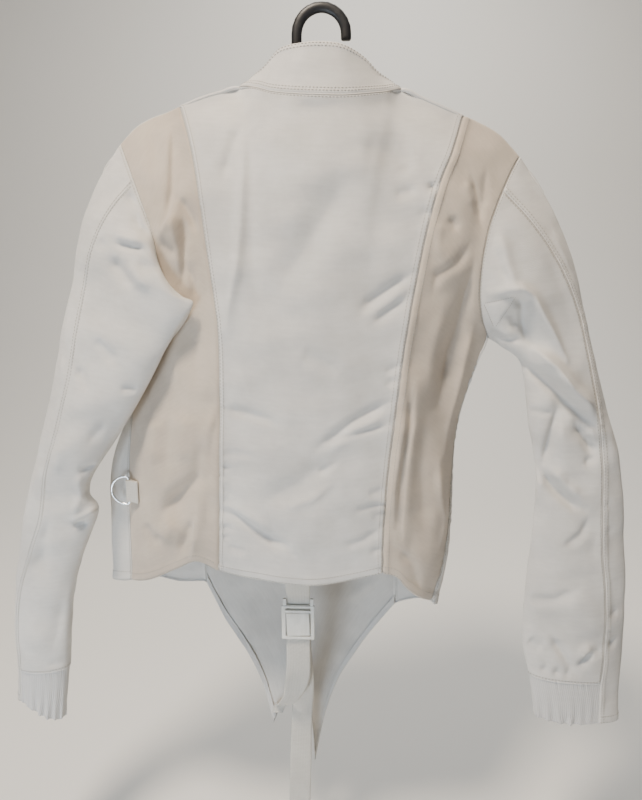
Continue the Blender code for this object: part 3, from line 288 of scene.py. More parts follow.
# %% Other finishes
knit = Finish("wrist_rib_knit", Sheen_Weight=0.3, Specular_IOR_Level=0.2)
uv, across, along = knit.cloth_place()
wales_and_groove_shade = across.wave(0.0021)
courses = along.wave(0.0012)
fluff = knit.noise(uv, 0.0012, 2.0, 0.7)
soil = knit.noise(knit.room_place(), 0.03, 3.0)
# The colour follows the wales, lighter on the raised ones and darker in the grooves between them: painted
# shade. The soil noise is dirt and the fluff noise the yarn's own uneven tone.
knit.colour(knit.blend((wales_and_groove_shade * 0.28 + fluff * 0.4 + soil * 0.5).within(0.1, 0.85),
                       (0.60, 0.59, 0.575, 1), (0.69, 0.68, 0.66, 1)))
knit.roughness(0.86 + fluff * 0.1)
knit.relief(wales_and_groove_shade * 0.5 + courses * 0.12 + fluff * 0.2, 0.0005, 0.6)

webbing = Finish("cotton_webbing", Sheen_Weight=0.15, Specular_IOR_Level=0.3)
uv, across, along = webbing.cloth_place()
ribs_and_groove_shade = along.wave(0.0016)
cords = (across.wave(0.0030) * 2.0).within(-1.0, 1.0)
fray = webbing.noise(uv, 0.002, 3.0, 0.65)
worn = webbing.noise(webbing.room_place(), 0.035, 3.0)
# The ribs also darken the colour in the grooves between them: painted shade. The worn noise is real wear and
# the fray noise uneven tone.
webbing.colour(webbing.blend((ribs_and_groove_shade * 0.12 + fray * 0.4 + worn * 0.6).within(0.25, 0.85),
                             (0.56, 0.54, 0.49, 1), (0.70, 0.68, 0.63, 1)))
webbing.roughness(0.8 + fray * 0.12)
webbing.relief(ribs_and_groove_shade * 0.4 + cords * 0.25 + fray * 0.25, 0.0004, 0.8)

thread = Finish("sewing_thread_darkened_as_shade", Sheen_Weight=0.2, Specular_IOR_Level=0.35)
strand = thread.noise(thread.room_place(), 0.004, 2.0)
# The thread is coloured a grey-beige much darker than the white cloth, so that stitches and seam lines read
# dark: painted shade of the needle holes and seam ditches, laid on the real thread.
thread.colour(thread.blend(strand, (0.33, 0.30, 0.26, 1), (0.50, 0.47, 0.42, 1)))
thread.roughness(0.62 + strand * 0.2)

white_plastic = Finish("white_moulded_plastic", IOR=1.49, Coat_Weight=0.0)
grain = white_plastic.noise(white_plastic.room_place(), 0.0009, 2.0)
scuffs = white_plastic.noise(white_plastic.room_place(), 0.006, 4.0, 0.7, (1.0, 1.0, 0.25))
white_plastic.colour(white_plastic.blend(
    scuffs.within(0.35, 0.7), (0.70, 0.70, 0.655, 1), (0.79, 0.79, 0.755, 1)))
white_plastic.roughness(0.30 + scuffs.within(0.45, 0.75) * 0.22)
white_plastic.relief(grain * 0.4 + scuffs * 0.3, 0.0001, 0.5)

black_plastic = Finish("black_hanger_plastic", IOR=1.49)
grain = black_plastic.noise(black_plastic.room_place(), 0.0011, 2.0)
dust = black_plastic.noise(black_plastic.room_place(), 0.02, 4.0, 0.7)
black_plastic.colour(black_plastic.blend(
    dust.within(0.45, 0.85), (0.014, 0.014, 0.016, 1), (0.045, 0.044, 0.042, 1)))
black_plastic.roughness(0.34 + dust * 0.22)
black_plastic.relief(grain, 0.00012, 0.6)

plated = Finish("plated_steel", IOR=2.5)
scratch = plated.noise(plated.room_place(), 0.0012, 3.0, 0.7, (1.0, 1.0, 0.2))
haze = plated.noise(plated.room_place(), 0.008, 3.0)
plated.colour(plated.blend(haze, (0.60, 0.61, 0.61, 1), (0.78, 0.79, 0.79, 1)))
plated.put(plated.shader.inputs["Metallic"], 1.0)
plated.roughness(0.16 + scratch.within(0.4, 0.8) * 0.18 + haze * 0.08)
plated.relief(scratch, 0.00003, 0.4)

teeth_plastic = Finish("zip_tooth_plastic", IOR=1.5)
tooth_tint = teeth_plastic.noise(teeth_plastic.room_place(), 0.004, 2.0)
teeth_plastic.colour(teeth_plastic.blend(tooth_tint, (0.66, 0.65, 0.62, 1), (0.78, 0.77, 0.74, 1)))
teeth_plastic.roughness(0.36 + tooth_tint * 0.14)

paper = Finish("pale_sweep", Specular_IOR_Level=0.2)
paper_tint = paper.noise(paper.room_place(), 0.8, 2.0)
paper.colour(paper.blend(paper_tint, (0.80, 0.79, 0.75, 1), (0.84, 0.83, 0.80, 1)))
paper.roughness(0.9 + paper_tint * 0.05)
sweep.data.materials.append(paper.material)
print("finishes", len(bpy.data.materials))

# %% [markdown]
# ## From a solid wall to a fine shell
#
# A panel's solid is a wall: an outer face, an inner face and a narrow rim, all in triangles.  The outer
# face was laid out in rows and columns, and that order is worth having back, because rows and columns
# give the direction of the threads and the way to every seam.  Subdividing the triangles would be quicker
# but it would keep their diagonals as faint ridges.  So the rim is taken off, the four corners are found
# where the edge turns most, and the rows are walked one after another.


# %% Rows and columns of a wall
def faces_of_wall(node, thickness):
    """The wall's two faces, each as directed edges that name the third point of their triangle."""
    bm = bmesh.new()
    bm.from_mesh(nodes[node].data)
    bmesh.ops.remove_doubles(bm, verts=bm.verts, dist=2e-6)
    rim = {f for e in bm.edges if abs(e.calc_length() - thickness) < 1.5e-6 for f in e.link_faces}
    points = np.array([v.co for v in bm.verts])
    triangles = [tuple(v.index for v in f.verts) for f in bm.faces if f not in rim]
    bm.free()
    owner = list(range(len(points)))

    def root(i):
        while owner[i] != i:
            i = owner[i]
        return i

    for a, b, c in triangles:
        owner[root(a)] = owner[root(b)] = root(c)
    parts = {}
    for a, b, c in triangles:
        part = parts.setdefault(root(a), {})
        part[a, b], part[b, c], part[c, a] = c, a, b
    return points, sorted(parts.values(), key=len, reverse=True)[:2]


def walk_rows(points, edges, rows, columns):
    """The points of one face as rows and columns, found by walking from its sharpest corners."""
    ahead = {a: b for a, b in edges if (b, a) not in edges}
    loop = [next(iter(ahead))]
    while ahead[loop[-1]] != loop[0] and len(loop) <= len(ahead):
        loop.append(ahead[loop[-1]])
    count = len(loop)
    if count != 2 * (rows + columns - 2):
        raise ValueError(f"the edge has {count} points, not {2 * (rows + columns - 2)}")
    at = points[loop]
    before, after = at - np.roll(at, 1, axis=0), np.roll(at, -1, axis=0) - at
    cosine = (before * after).sum(1) / np.linalg.norm(before, axis=1) / np.linalg.norm(after, axis=1)
    turn = np.arccos(np.clip(cosine, -1, 1))
    w, h = columns - 1, rows - 1
    start = max(range(count), key=lambda k: sum(turn[(k + s) % count] for s in (0, w, w + h, 2 * w + h)))
    grid = np.zeros((rows, columns), int)
    grid[0] = [loop[(start + j) % count] for j in range(columns)]
    for i in range(1, rows):
        grid[i, 0] = loop[(start - i) % count]
        for j in range(w):
            low, right, up = grid[i - 1, j], grid[i - 1, j + 1], grid[i, j]
            third = edges[low, right]
            grid[i, j + 1] = edges[up, right] if third == up else third
    return points[grid]


def outer_face(node, rows, columns, sign, thickness=1.5 * MM):
    """The outer face from its low edge up, and from the wearer's left to the right."""
    points, faces = faces_of_wall(node, thickness)
    best = None
    for edges in faces:
        grid = walk_rows(points, edges, rows, columns)
        if grid[0, :, 2].mean() > grid[-1, :, 2].mean():
            grid = grid[::-1]
        if grid[:, 0, 0].mean() > grid[:, -1, 0].mean():
            grid = grid[:, ::-1]
        outward = sign * np.cross(grid[:-1, 1:] - grid[:-1, :-1], grid[1:, :-1] - grid[:-1, :-1])
        a, b = next(iter(edges))
        c = edges[a, b]
        face = np.cross(points[b] - points[a], points[c] - points[a])
        near = np.linalg.norm(grid[:-1, :-1] - points[[a, b, c]].mean(0), axis=2)
        agrees = float(face @ outward[np.unravel_index(near.argmin(), near.shape)])
        if best is None or agrees > best[0]:
            best = (agrees, grid)
    return best[1]


def smooth_rows(points, at):
    """Points at fractional row numbers, on smooth curves that pass through every row."""
    ends = np.concatenate([2 * points[:1] - points[1:2], points, 2 * points[-1:] - points[-2:-1]])
    first = np.minimum(at.astype(int), len(points) - 2)
    t = (at - first)[:, None, None]
    a, b, c, d = (ends[first + k] for k in range(4))
    return b + 0.5 * t * (c - a + t * (2 * a - 5 * b + 4 * c - d + t * (3 * (b - c) + d - a)))


def finer(count, steps, edge=(0.0, 0.035, 0.08, 0.14, 0.22, 0.32, 0.45, 0.6, 0.8)):
    """Row numbers with some steps to each cell, and closer ones in the first and last cell."""
    if count < 3:
        return np.linspace(0, count - 1, steps * 2 + 1)
    middle = np.arange(steps, (count - 2) * steps) / steps
    return np.concatenate([edge, middle, [count - 2], count - 1 - np.array(edge)[::-1]])


def normals_of(grid, sign):
    across, up = np.gradient(grid, axis=1), np.gradient(grid, axis=0)
    out = sign * np.cross(across, up)
    return out / (np.linalg.norm(out, axis=2, keepdims=True) + 1e-12)


def run_lengths(grid, axis):
    """Metres from the first row or column, along the cloth."""
    steps = np.linalg.norm(np.diff(grid, axis=axis), axis=2)
    zero = np.zeros_like(np.take(grid[..., 0], [0], axis=axis))
    return np.concatenate([zero, np.cumsum(steps, axis=axis)], axis=axis)


class Panel:
    """One cut piece: its fine points, their outward direction and metres to each of its edges."""

    def __init__(self, node, rows, columns, sign, steps=8, thickness=1.5 * MM, spread=0.25 * MM):
        self.node, self.sign = node, sign
        coarse = outer_face(node, rows, columns, sign, thickness)
        half = smooth_rows(coarse, finer(rows, steps)).swapaxes(0, 1)
        grid = smooth_rows(half, finer(columns, steps)).swapaxes(0, 1)
        for edge, beside in ((0, 1), (-1, -2)):
            for view in (grid, grid.swapaxes(0, 1)):
                pull = view[edge] - view[beside]
                view[edge] += spread * pull / (np.linalg.norm(pull, axis=1, keepdims=True) + 1e-12)
        self.points = grid
        self.normals = normals_of(grid, sign)
        self.left, self.low = run_lengths(grid, 1), run_lengths(grid, 0)
        self.right, self.high = self.left[:, -1:] - self.left, self.low[-1:] - self.low
        cells = np.linalg.norm(np.cross(grid[1:, 1:] - grid[:-1, :-1], grid[1:, :-1] - grid[:-1, 1:]), axis=2)
        self.area = float(cells.sum() / 2)
        self.cut = (float(self.left[:, -1].max()), float(self.low[-1].max()))

    def settle(self):
        self.normals = normals_of(self.points, self.sign)


# %% Read every panel
PANELS = {
    "back_centre": (22, 15, 1), "back_side_left": (22, 7, 1), "back_side_right": (22, 7, 1),
    "front_side_left": (22, 7, -1), "front_side_right": (22, 7, -1), "front_left": (22, 9, -1),
    "front_right": (22, 9, -1), "collar": (4, 19, 1), "sleeve_left_outer": (24, 9, -1),
    "sleeve_left_under": (22, 13, 1), "sleeve_right_outer": (24, 9, -1), "sleeve_right_under": (22, 13, 1),
}
panels = {name: Panel(name, *size) for name, size in PANELS.items()}
for name, panel in panels.items():
    print(f"{name:20s} {panel.points.shape[:2]} cut {panel.cut[0]:.3f} x {panel.cut[1]:.3f} m,"
          f" {panel.area:.4f} m2")

# %% [markdown]
# ## Creases
#
# Cloth this firm doesn't wrinkle evenly: it breaks into a few creases that start at a point of strain,
# the underarm, the elbow, a seam that was sewn a little short, and fade out.  A cloth simulation gives
# creases of its own choosing, and these have to be the photograph's.  So each is a line of points with a
# half-width and a depth: above zero it stands out as a ridge, below zero it sinks as a trough.  Each
# fades towards its ends.  The cloth moves straight out from the body, so two panels that meet at a seam
# move together.  The front isn't seen in the photograph, and it gets creases of the same kinds.

# %% Crease tables
# For each side of the jacket: half-width, depth, then x, z, x, z and so on along the line.
CREASES = {
    "back": [
        (3, -1.8, -141, -104, -141, -163, -144, -185, -153, -203),
        (6, 1.6, -146, -105, -146, -159, -151, -185), (6, -1.4, -162, -103, -159, -152),
        (4, -3.2, -134, -171, -128, -177, -121, -189, -114, -205),
        (3.5, -2.6, -130, -185, -127, -208, -130, -237, -133, -250),
        (3, -2.2, -126, -234, -121, -250, -120, -268), (6, 2.8, -139, -182, -136, -218, -133, -246),
        (4, 1.6, -156, -206, -139, -191), (4, -1.8, -154, -210, -136, -224),
        (5, 1.4, -124, -209, -123, -236), (4, 3.4, -104, -373, -110, -396, -115, -428, -118, -455),
        (7, -4.6, -109, -392, -120, -440, -142, -463, -158, -479, -167, -495),
        (3.5, 2.8, -118, -456, -121, -477, -126, -499, -132, -525),
        (5, -3.4, -128, -487, -137, -509, -147, -529), (9, 3.0, -150, -491, -165, -516),
        (6, -2.4, -188, -501, -177, -518, -165, -514), (11, 2.6, -168, -384, -173, -435),
        (10, 2.2, -134, -376, -139, -430), (7, -1.6, -152, -384, -157, -441),
        (8, 2.0, -145, -286, -142, -355), (6, -1.4, -122, -295, -120, -360),
        (4, -2.0, -92, -371, -68, -375, -40, -383), (3, -1.0, -96, -415, -79, -415, -61, -417),
        (2.6, -0.9, -96, -429, -88, -432), (2.6, -0.9, -97, -451, -85, -459),
        (2.6, -0.9, -97, -462, -88, -466),
        (4.2, -2.8, -98, -476, -83, -479, -65, -493, -46, -506, -32, -509, -26, -519),
        (5, 1.6, -92, -468, -70, -478, -44, -495), (2.6, -0.9, -98, -491, -88, -494),
        (2.6, -0.9, -98, -503, -90, -503), (3, -1.2, -93, -513, -72, -519),
        (4, 1.4, -33, -468, -7, -459, 11, -444), (10, -2.4, -53, -463, -15, -441, 11, -416),
        (2.5, -0.9, 0, -432, 12, -427), (5, -1.6, -76, -107, -84, -135, -91, -155),
        (5, 2.2, -69, -107, -72, -192, -77, -238, -86, -278, -89, -294),
        (14, -2.2, 21, -162, -8, -210, -41, -261), (4, -2.4, 39, -274, 64, -255, 87, -241),
        (4.5, 1.4, 45, -281, 67, -265, 85, -250), (3.5, -1.6, 51, -286, 84, -262),
        (2.5, -0.9, 74, -146, 86, -146), (4, -1.5, 69, -170, 90, -165),
        (3.5, -3.0, 102, -159, 107, -166), (4, -1.2, 95, -190, 102, -182),
        (12, -1.6, 37, -128, 94, -137), (4.5, -2.8, 68, -362, 33, -381, -1, -407),
        (2.6, -1.7, 70, -384, 37, -392, 11, -401), (6, 1.4, 67, -372, 30, -392, 6, -417),
        (2.6, -0.9, -1, -434, 21, -419), (3, -1.1, 64, -334, 78, -325), (3, -1.1, 64, -345, 76, -339),
        (3, -1.1, 49, -454, 65, -450), (3, -1.2, 36, -471, 65, -465),
        (4, -1.5, 25, -509, 45, -503, 62, -491), (2.6, -0.8, 53, -480, 65, -476),
        (2.6, -0.8, 52, -518, 63, -510), (9, -1.5, -18, -313, 25, -334),
        (3.2, -2.2, 141, -153, 146, -167, 151, -187, 154, -197), (5, 1.5, 137, -156, 143, -181),
        (4, -1.2, 153, -183, 157, -143), (4, -2.2, 122, -189, 128, -202),
        (4.5, -2.2, 140, -216, 130, -230, 110, -243, 107, -258),
        (6, 1.8, 111, -193, 110, -215, 115, -228),
        (6, -4.4, 147, -233, 139, -266, 134, -294, 126, -316, 123, -345, 118, -368),
        (9, 2.8, 118, -275, 107, -324, 106, -361),
        (5, 2.8, 150, -294, 140, -350, 132, -384, 126, -418),
        (2.8, -3.4, 88, -341, 88, -385, 83, -419, 80, -449, 80, -487, 82, -500),
        (3.6, 3.2, 83, -363, 78, -414, 74, -449, 74, -487),
        (11, -3.6, 104, -383, 101, -434, 107, -508),
        (4.5, 3.0, 120, -425, 125, -465, 132, -493, 124, -521),
        (5, -2.0, 81, -514, 95, -531, 104, -564),
    ],
    "left": [
        (3.2, -2.0, -194, -156, -188, -164, -170, -179),
        (3.0, -1.8, -179, -185, -174, -196, -162, -205),
        (3.6, -2.3, -197, -212, -179, -216, -163, -219),
        (4.5, 1.6, -194, -205, -179, -209, -163, -212), (6, -2.6, -202, -226, -190, -239, -177, -256),
        (5, -1.2, -171, -234, -147, -236), (6, 1.6, -182, -230, -159, -257),
        (6, -1.8, -222, -304, -209, -313, -197, -328), (4, -1.8, -242, -333, -233, -345, -230, -356),
        (3, -1.5, -194, -351, -178, -352), (3.5, -1.4, -216, -210, -205, -216),
        (5, -1.4, -237, -234, -229, -258), (4, 1.5, -261, -324, -255, -356),
        (3, -2.2, -246, -439, -229, -432), (3, 2.4, -260, -495, -245, -489, -232, -483),
        (2.6, -2.4, -260, -498, -246, -503), (5, 2.0, -246, -442, -248, -469, -259, -492),
        (7, -1.4, -288, -495, -298, -543, -294, -563), (3, -1.7, -321, -669, -307, -676, -292, -692),
        (3, -1.2, -317, -685, -300, -695), (2.6, -1.2, -300, -663, -287, -672),
        (6, 1.4, -262, -408, -271, -440), (5, -1.3, -215, -387, -233, -408),
        (6, -1.2, -280, -586, -294, -646),
    ],
    "right": [
        (7, 2.8, 170, -204, 173, -231, 184, -256), (4, -2.0, 168, -219, 171, -235, 180, -251),
        (4, 3.8, 163, -260, 179, -256, 190, -255, 200, -262, 215, -284, 227, -303, 238, -322),
        (5.5, -5.0, 183, -264, 195, -269, 197, -285, 204, -307), (6, -2.0, 185, -274, 190, -296),
        (3, -1.5, 165, -295, 180, -304, 200, -304),
        (4.5, 4.2, 203, -309, 226, -328, 245, -351, 264, -366, 274, -379),
        (5, -5.0, 198, -325, 219, -343, 241, -363, 258, -379, 272, -389),
        (4, -3.4, 252, -386, 264, -403, 279, -418), (5, 1.8, 264, -390, 277, -406),
        (3.4, -2.5, 234, -374, 230, -399, 227, -429), (3, -1.2, 208, -374, 232, -376),
        (4, -3.4, 227, -438, 240, -457, 257, -471, 267, -475),
        (5, 2.2, 232, -433, 247, -449, 263, -461), (6, 2.4, 222, -444, 218, -474),
        (3.5, -1.6, 263, -426, 279, -420), (4, -1.6, 250, -514, 267, -499, 272, -484),
        (6, -2.0, 218, -578, 244, -573, 264, -561), (4, -2.4, 245, -617, 263, -644, 273, -658),
        (3, -2.4, 272, -648, 287, -632), (4, 1.6, 274, -635, 285, -623),
        (3, -1.4, 281, -473, 292, -466), (3, -1.4, 283, -503, 298, -496),
        (3.4, -1.5, 290, -590, 313, -587), (4, -2.4, 290, -634, 312, -619),
        (2.6, -1.3, 237, -660, 244, -651), (2.6, -1.3, 251, -663, 255, -652),
        (2.6, -1.2, 262, -664, 265, -654), (7, -1.3, 222, -625, 238, -632),
        (6, 1.3, 223, -197, 250, -265),
    ],
    "front": [
        (6, -2.2, -120, -180, -104, -232, -96, -300), (4, -2.0, -130, -230, -108, -252, -84, -262),
        (8, 2.4, -60, -170, -68, -260, -84, -360), (4, -2.4, -150, -262, -122, -300, -110, -350),
        (5, -2.6, -118, -420, -84, -450, -44, -462), (4, 1.8, -112, -438, -80, -464, -50, -476),
        (5, -2.0, -100, -540, -72, -562, -40, -566), (4, -1.4, -30, -240, -52, -262),
        (4, -1.3, -20, -330, -46, -344, -70, -338), (7, -3.0, -170, -440, -164, -500, -172, -560),
        (8, 2.6, -192, -430, -188, -520), (5, -2.0, -152, -350, -162, -400),
        (6, -2.4, 110, -190, 96, -240, 90, -300), (4, -2.0, 120, -232, 98, -262, 70, -270),
        (8, 2.4, 46, -190, 58, -280, 70, -350), (5, -2.8, 80, -400, 48, -428, 14, -436),
        (4, 1.8, 76, -416, 48, -444, 20, -452), (4, -1.8, 72, -510, 50, -522, 20, -518),
        (4, -1.4, 24, -300, 40, -322), (6, -2.8, 104, -380, 100, -450, 106, -530),
        (6, 2.2, 118, -400, 116, -500), (5, -1.8, 60, -590, 30, -612),
    ],
    "left_front": [
        (5, -3.0, -210, -240, -180, -262, -150, -262), (4.5, -2.6, -262, -300, -222, -322, -190, -312),
        (5, 2.2, -256, -318, -222, -338, -194, -330), (4, -2.8, -290, -400, -262, -430, -240, -452),
        (4, 2.2, -296, -420, -268, -448, -246, -462), (4, -2.4, -312, -470, -282, -478, -250, -468),
        (5, -1.8, -320, -560, -296, -590, -282, -600), (3, -1.6, -330, -652, -306, -660),
    ],
    "right_front": [
        (5, -3.0, 190, -262, 214, -284, 246, -290), (4.5, -2.8, 208, -322, 240, -350, 270, -360),
        (5, 2.4, 206, -338, 238, -366, 268, -378), (4, -3.0, 228, -420, 258, -440, 296, -438),
        (4, 2.2, 226, -436, 258, -456, 292, -456), (5, -2.0, 224, -520, 262, -540, 286, -560),
        (4, -1.8, 230, -610, 262, -630, 290, -628), (3, -1.4, 240, -652, 262, -646),
    ],
}


def crease_height(side, x, z):
    """How far each place stands out of the smooth form, in millimetres."""
    total = np.zeros_like(x)
    for half, depth, *places in CREASES[side]:
        line = np.array(places).reshape(-1, 2)
        low = np.min(line, axis=0) - 4 * half
        high = np.max(line, axis=0) + 4 * half
        near = (x > low[0]) & (x < high[0]) & (z > low[1]) & (z < high[1])
        if not near.any():
            continue
        px, pz = x[near], z[near]
        runs = np.linalg.norm(np.diff(line, axis=0), axis=1)
        whole = runs.sum()
        best = np.full(px.shape, 1e9)
        share = np.zeros(px.shape)
        for (x0, z0), (x1, z1), run, start in zip(line, line[1:], runs, np.cumsum(runs) - runs):
            t = np.clip(((px - x0) * (x1 - x0) + (pz - z0) * (z1 - z0)) / run ** 2, 0, 1)
            off = np.hypot(px - x0 - t * (x1 - x0), pz - z0 - t * (z1 - z0))
            closer = off < best
            share = np.where(closer, (start + t * run) / whole, share)
            best = np.minimum(best, off)
        fade = np.clip(np.minimum(share / 0.22, (1 - share) / 0.30), 0, 1)
        fade = 0.25 + 0.75 * fade * fade * (3 - 2 * fade)
        width = half * (0.75 + 0.35 * fade)
        total[near] += depth * fade * np.exp(-np.abs(best / width) ** 1.7)
    return total


def slow_wander(x, z):
    """The faint unevenness that any hung cloth has, in millimetres, the same on both sides of a seam."""
    waves = ((61, 13, 0.4, 0.30), (-37, 24, 1.9, 0.24), (23, 71, 4.1, 0.26), (14, -52, 2.7, 0.20),
             (88, -31, 0.9, 0.13), (-19, 118, 3.3, 0.12), (131, 40, 5.2, 0.07), (-57, 160, 1.2, 0.06))
    return sum(size * np.sin((x * kx + z * kz) / 1000 * 2 * np.pi / 4.2 + turn)
               for kx, kz, turn, size in waves)


print("creases", {side: len(rows) for side, rows in CREASES.items()})

# %% [markdown]
# ## Puckers, seams and hems
#
# A seam is a small ditch, because the thread pulls both layers in.  Where two panels meet at an angle
# their edges keep still and only the cloth beside them rises.  Where a stretch cloth meets a firm
# one, or elastic was sewn in, the longer layer is eased into the shorter one and stands up in short
# puckers square to the seam.  They are strongest along the right side seam and beside the lower ends of
# the back panel's seams.  A hem is two or three layers, so it stands a little proud of the cloth above.

# %% Pucker tables
# Panel, edge, from and to level, height, pitch along the edge, and reach into the panel.
PUCKERS = [
    ("back_centre", "left", -560, -420, 0.75, 12, 13), ("back_centre", "left", -420, -200, 0.25, 9, 6),
    ("back_centre", "left", -200, -110, 0.3, 8, 6), ("back_centre", "right", -550, -430, 0.85, 13, 14),
    ("back_centre", "right", -430, -330, 0.55, 12, 12),
    ("back_centre", "right", -330, -120, 0.3, 9, 7),
    ("back_side_left", "right", -560, -300, 0.25, 9, 5),
    ("back_side_left", "left", -330, -120, 0.45, 11, 8),
    ("back_side_left", "left", -600, -420, 0.35, 10, 6),
    ("back_side_right", "right", -600, -430, 0.8, 15, 8),
    ("back_side_right", "right", -430, -310, 1.15, 11, 8),
    ("back_side_right", "right", -310, -150, 0.35, 10, 7),
    ("back_side_right", "left", -560, -120, 0.3, 9, 6),
    ("front_side_right", "right", -600, -430, 1.3, 16, 11),
    ("front_side_right", "right", -430, -310, 1.15, 11, 8),
    ("front_side_left", "left", -600, -420, 0.35, 10, 7),
    ("front_side_left", "right", -560, -200, 0.3, 10, 7),
    ("front_side_right", "left", -560, -200, 0.3, 10, 7),
    ("sleeve_right_under", "right", -700, -200, 0.4, 14, 9),
    ("sleeve_right_outer", "right", -700, -200, 0.45, 17, 12),
    ("sleeve_left_under", "left", -690, -200, 0.35, 13, 8),
    ("sleeve_left_outer", "left", -690, -200, 0.35, 13, 8),
    ("sleeve_left_under", "right", -690, -300, 0.3, 13, 8),
    ("sleeve_right_under", "left", -690, -320, 0.3, 13, 8),
    ("front_left", "right", -760, -140, 0.22, 11, 6), ("front_right", "left", -800, -140, 0.22, 11, 6),
]
# Panel, edge, how far the hem or seam allowance reaches, and how proud it stands.
DOUBLED = [
    ("back_centre", "low", 9, 0.55), ("back_side_left", "low", 10, 0.55),
    ("back_side_right", "low", 10, 0.5), ("front_side_left", "low", 12, 0.5),
    ("front_side_right", "low", 12, 0.5), ("front_left", "low", 12, 0.45),
    ("front_right", "low", 12, 0.45), ("sleeve_left_outer", "low", 10, 0.5),
    ("sleeve_right_outer", "low", 10, 0.5), ("back_centre", "right", 6, 0.4),
    ("back_centre", "left", 5, 0.35), ("sleeve_right_outer", "right", 6, 0.4),
    ("collar", "high", 6, 0.4), ("collar", "low", 5, 0.3), ("front_left", "right", 9, 0.4),
    ("front_right", "left", 9, 0.4), ("back_side_right", "left", 7, 0.7),
]
SEAM_RISE = (0.75, 1.7, 9)
# Edges that meet a piece facing another way keep still, so that no slit opens between the two.
STILL = {"back_centre": ("high",), "front_left": ("high",), "front_right": ("high",), "collar": ("low",)}
for side in ("left", "right"):
    STILL[f"back_side_{side}"] = STILL[f"front_side_{side}"] = ("high", side)
    STILL[f"sleeve_{side}_outer"] = ("high", "left", "right")
    STILL[f"sleeve_{side}_under"] = ("high", "left", "right", "low")
DEEPER = 1.8


def pucker_wave(along, pitch):
    """Uneven ripples along a seam: the pitch drifts and no two are of one height."""
    drift = along / pitch + 0.55 * np.sin(along / pitch * 0.83) + 0.3 * np.sin(along / pitch * 2.3 + 1.0)
    height = 0.62 + 0.38 * np.sin(along / pitch * 1.37 + 0.6)
    return np.sin(2 * np.pi * drift) * height


def edge_relief(name, panel):
    """Ditches, puckers and doubled edges, in millimetres along the panel's own outward direction."""
    x, z = panel.points[..., 0] / MM, panel.points[..., 2] / MM
    total = np.zeros_like(x)
    for side in ("left", "right", "low", "high"):
        rise, half, reach = SEAM_RISE
        far = getattr(panel, side) / MM
        total += rise * (1 - np.exp(-((far / half) ** 2))) * np.exp(-((far / reach) ** 2))
        if side not in STILL[name]:
            total -= rise * np.exp(-((far / half) ** 2))
    for where, side, low, high, height, pitch, reach in PUCKERS:
        if where != name:
            continue
        far = getattr(panel, side) / MM
        ramp = np.clip(np.minimum((z - low) / 12, (high - z) / 12), 0, 1)
        along = z if side in ("left", "right") else x
        total += height * ramp * pucker_wave(along, pitch) * np.exp(-((far / reach) ** 1.5))
    for where, side, reach, proud in DOUBLED:
        if where == name:
            far = getattr(panel, side) / MM
            total += proud * (1 - np.clip((far - reach + 0.6) / 1.2, 0, 1)) * np.clip(far / 1.2, 0, 1)
    return total


def stillness(name, panel, reach=13):
    """0 at the edges that have to stay on their neighbour, 1 a finger's width further in."""
    moves = np.ones(panel.points.shape[:2])
    for side in STILL[name]:
        far = np.clip(getattr(panel, side) / MM / reach, 0, 1)
        moves *= far * far * (3 - 2 * far)
    return moves


def crease_panel(name, panel):
    """Moves one panel's points by its creases, its wander and what happens at its edges."""
    x, z = panel.points[..., 0] / MM, panel.points[..., 2] / MM
    back = np.clip((-panel.normals[..., 1] + 0.05) / 0.45, 0, 1)
    front = np.clip((panel.normals[..., 1] + 0.05) / 0.45, 0, 1)
    side = name.split("_")[1] if name.startswith("sleeve") else name.split("_")[0]
    if name == "collar":
        height_back = height_front = slow_wander(x * 1.6, z * 1.6) * 0.45
    elif name.startswith("sleeve"):
        height_back = crease_height(side, x, z) + slow_wander(x, z)
        height_front = crease_height(side + "_front", x, z) + slow_wander(x + 90, z)
    else:
        height_back = crease_height("back", x, z) + slow_wander(x, z)
        height_front = crease_height("front", x, z) + slow_wander(x + 90, z)
        back, front = (1, 0) if side == "back" else (0, 1)
    moves = stillness(name, panel) * (1.4 if name.startswith("sleeve") else 1.0)
    panel.points[..., 1] += (front * height_front - back * height_back) * moves * DEEPER * MM
    panel.settle()
    relief = edge_relief(name, panel)
    for side in STILL[name]:
        relief = relief * np.clip(getattr(panel, side) / MM / 1.5, 0, 1)
    panel.points += panel.normals * (relief * MM)[..., None]
    panel.settle()


before = {name: panel.points.copy() for name, panel in panels.items()}
for name, panel in panels.items():
    crease_panel(name, panel)
    moved = np.linalg.norm(panel.points - before[name], axis=2).max() / MM
    print(f"{name:20s} moved up to {moved:.1f} mm")


# %% Make the shells
def shell(name, panel, thickness=1.0 * MM):
    """A closed shell: the panel's points, the same set inwards, and a rim; the map follows the cut."""
    rows, columns = panel.points.shape[:2]
    outer = panel.points.reshape(-1, 3)
    inner = (panel.points - thickness * panel.normals).reshape(-1, 3)
    count = rows * columns
    number = np.arange(count).reshape(rows, columns)
    a, b, c, d = number[:-1, :-1], number[:-1, 1:], number[1:, 1:], number[1:, :-1]
    quads = np.stack([a, b, c, d], axis=-1).reshape(-1, 4)
    if panel.sign < 0:
        quads = quads[:, ::-1]
    back = quads[:, ::-1] + count
    ring = np.concatenate([number[0], number[1:, -1], number[-1, -2::-1], number[-2:0:-1, 0]])
    after = np.roll(ring, -1)
    rim = np.stack([ring, ring + count, after + count, after], axis=-1)
    if panel.sign < 0:
        rim = rim[:, ::-1]
    faces = np.concatenate([quads, back, rim])
    made = add_mesh(name, np.concatenate([outer, inner]), faces)
    place = np.tile(np.stack([panel.left, panel.low], axis=-1).reshape(-1, 2), (2, 1))
    layer = made.data.uv_layers.new(name="cut")
    loops = np.zeros(len(made.data.loops), np.int32)
    made.data.loops.foreach_get("vertex_index", loops)
    layer.data.foreach_set("uv", place[loops].astype(np.float32).ravel())
    return made


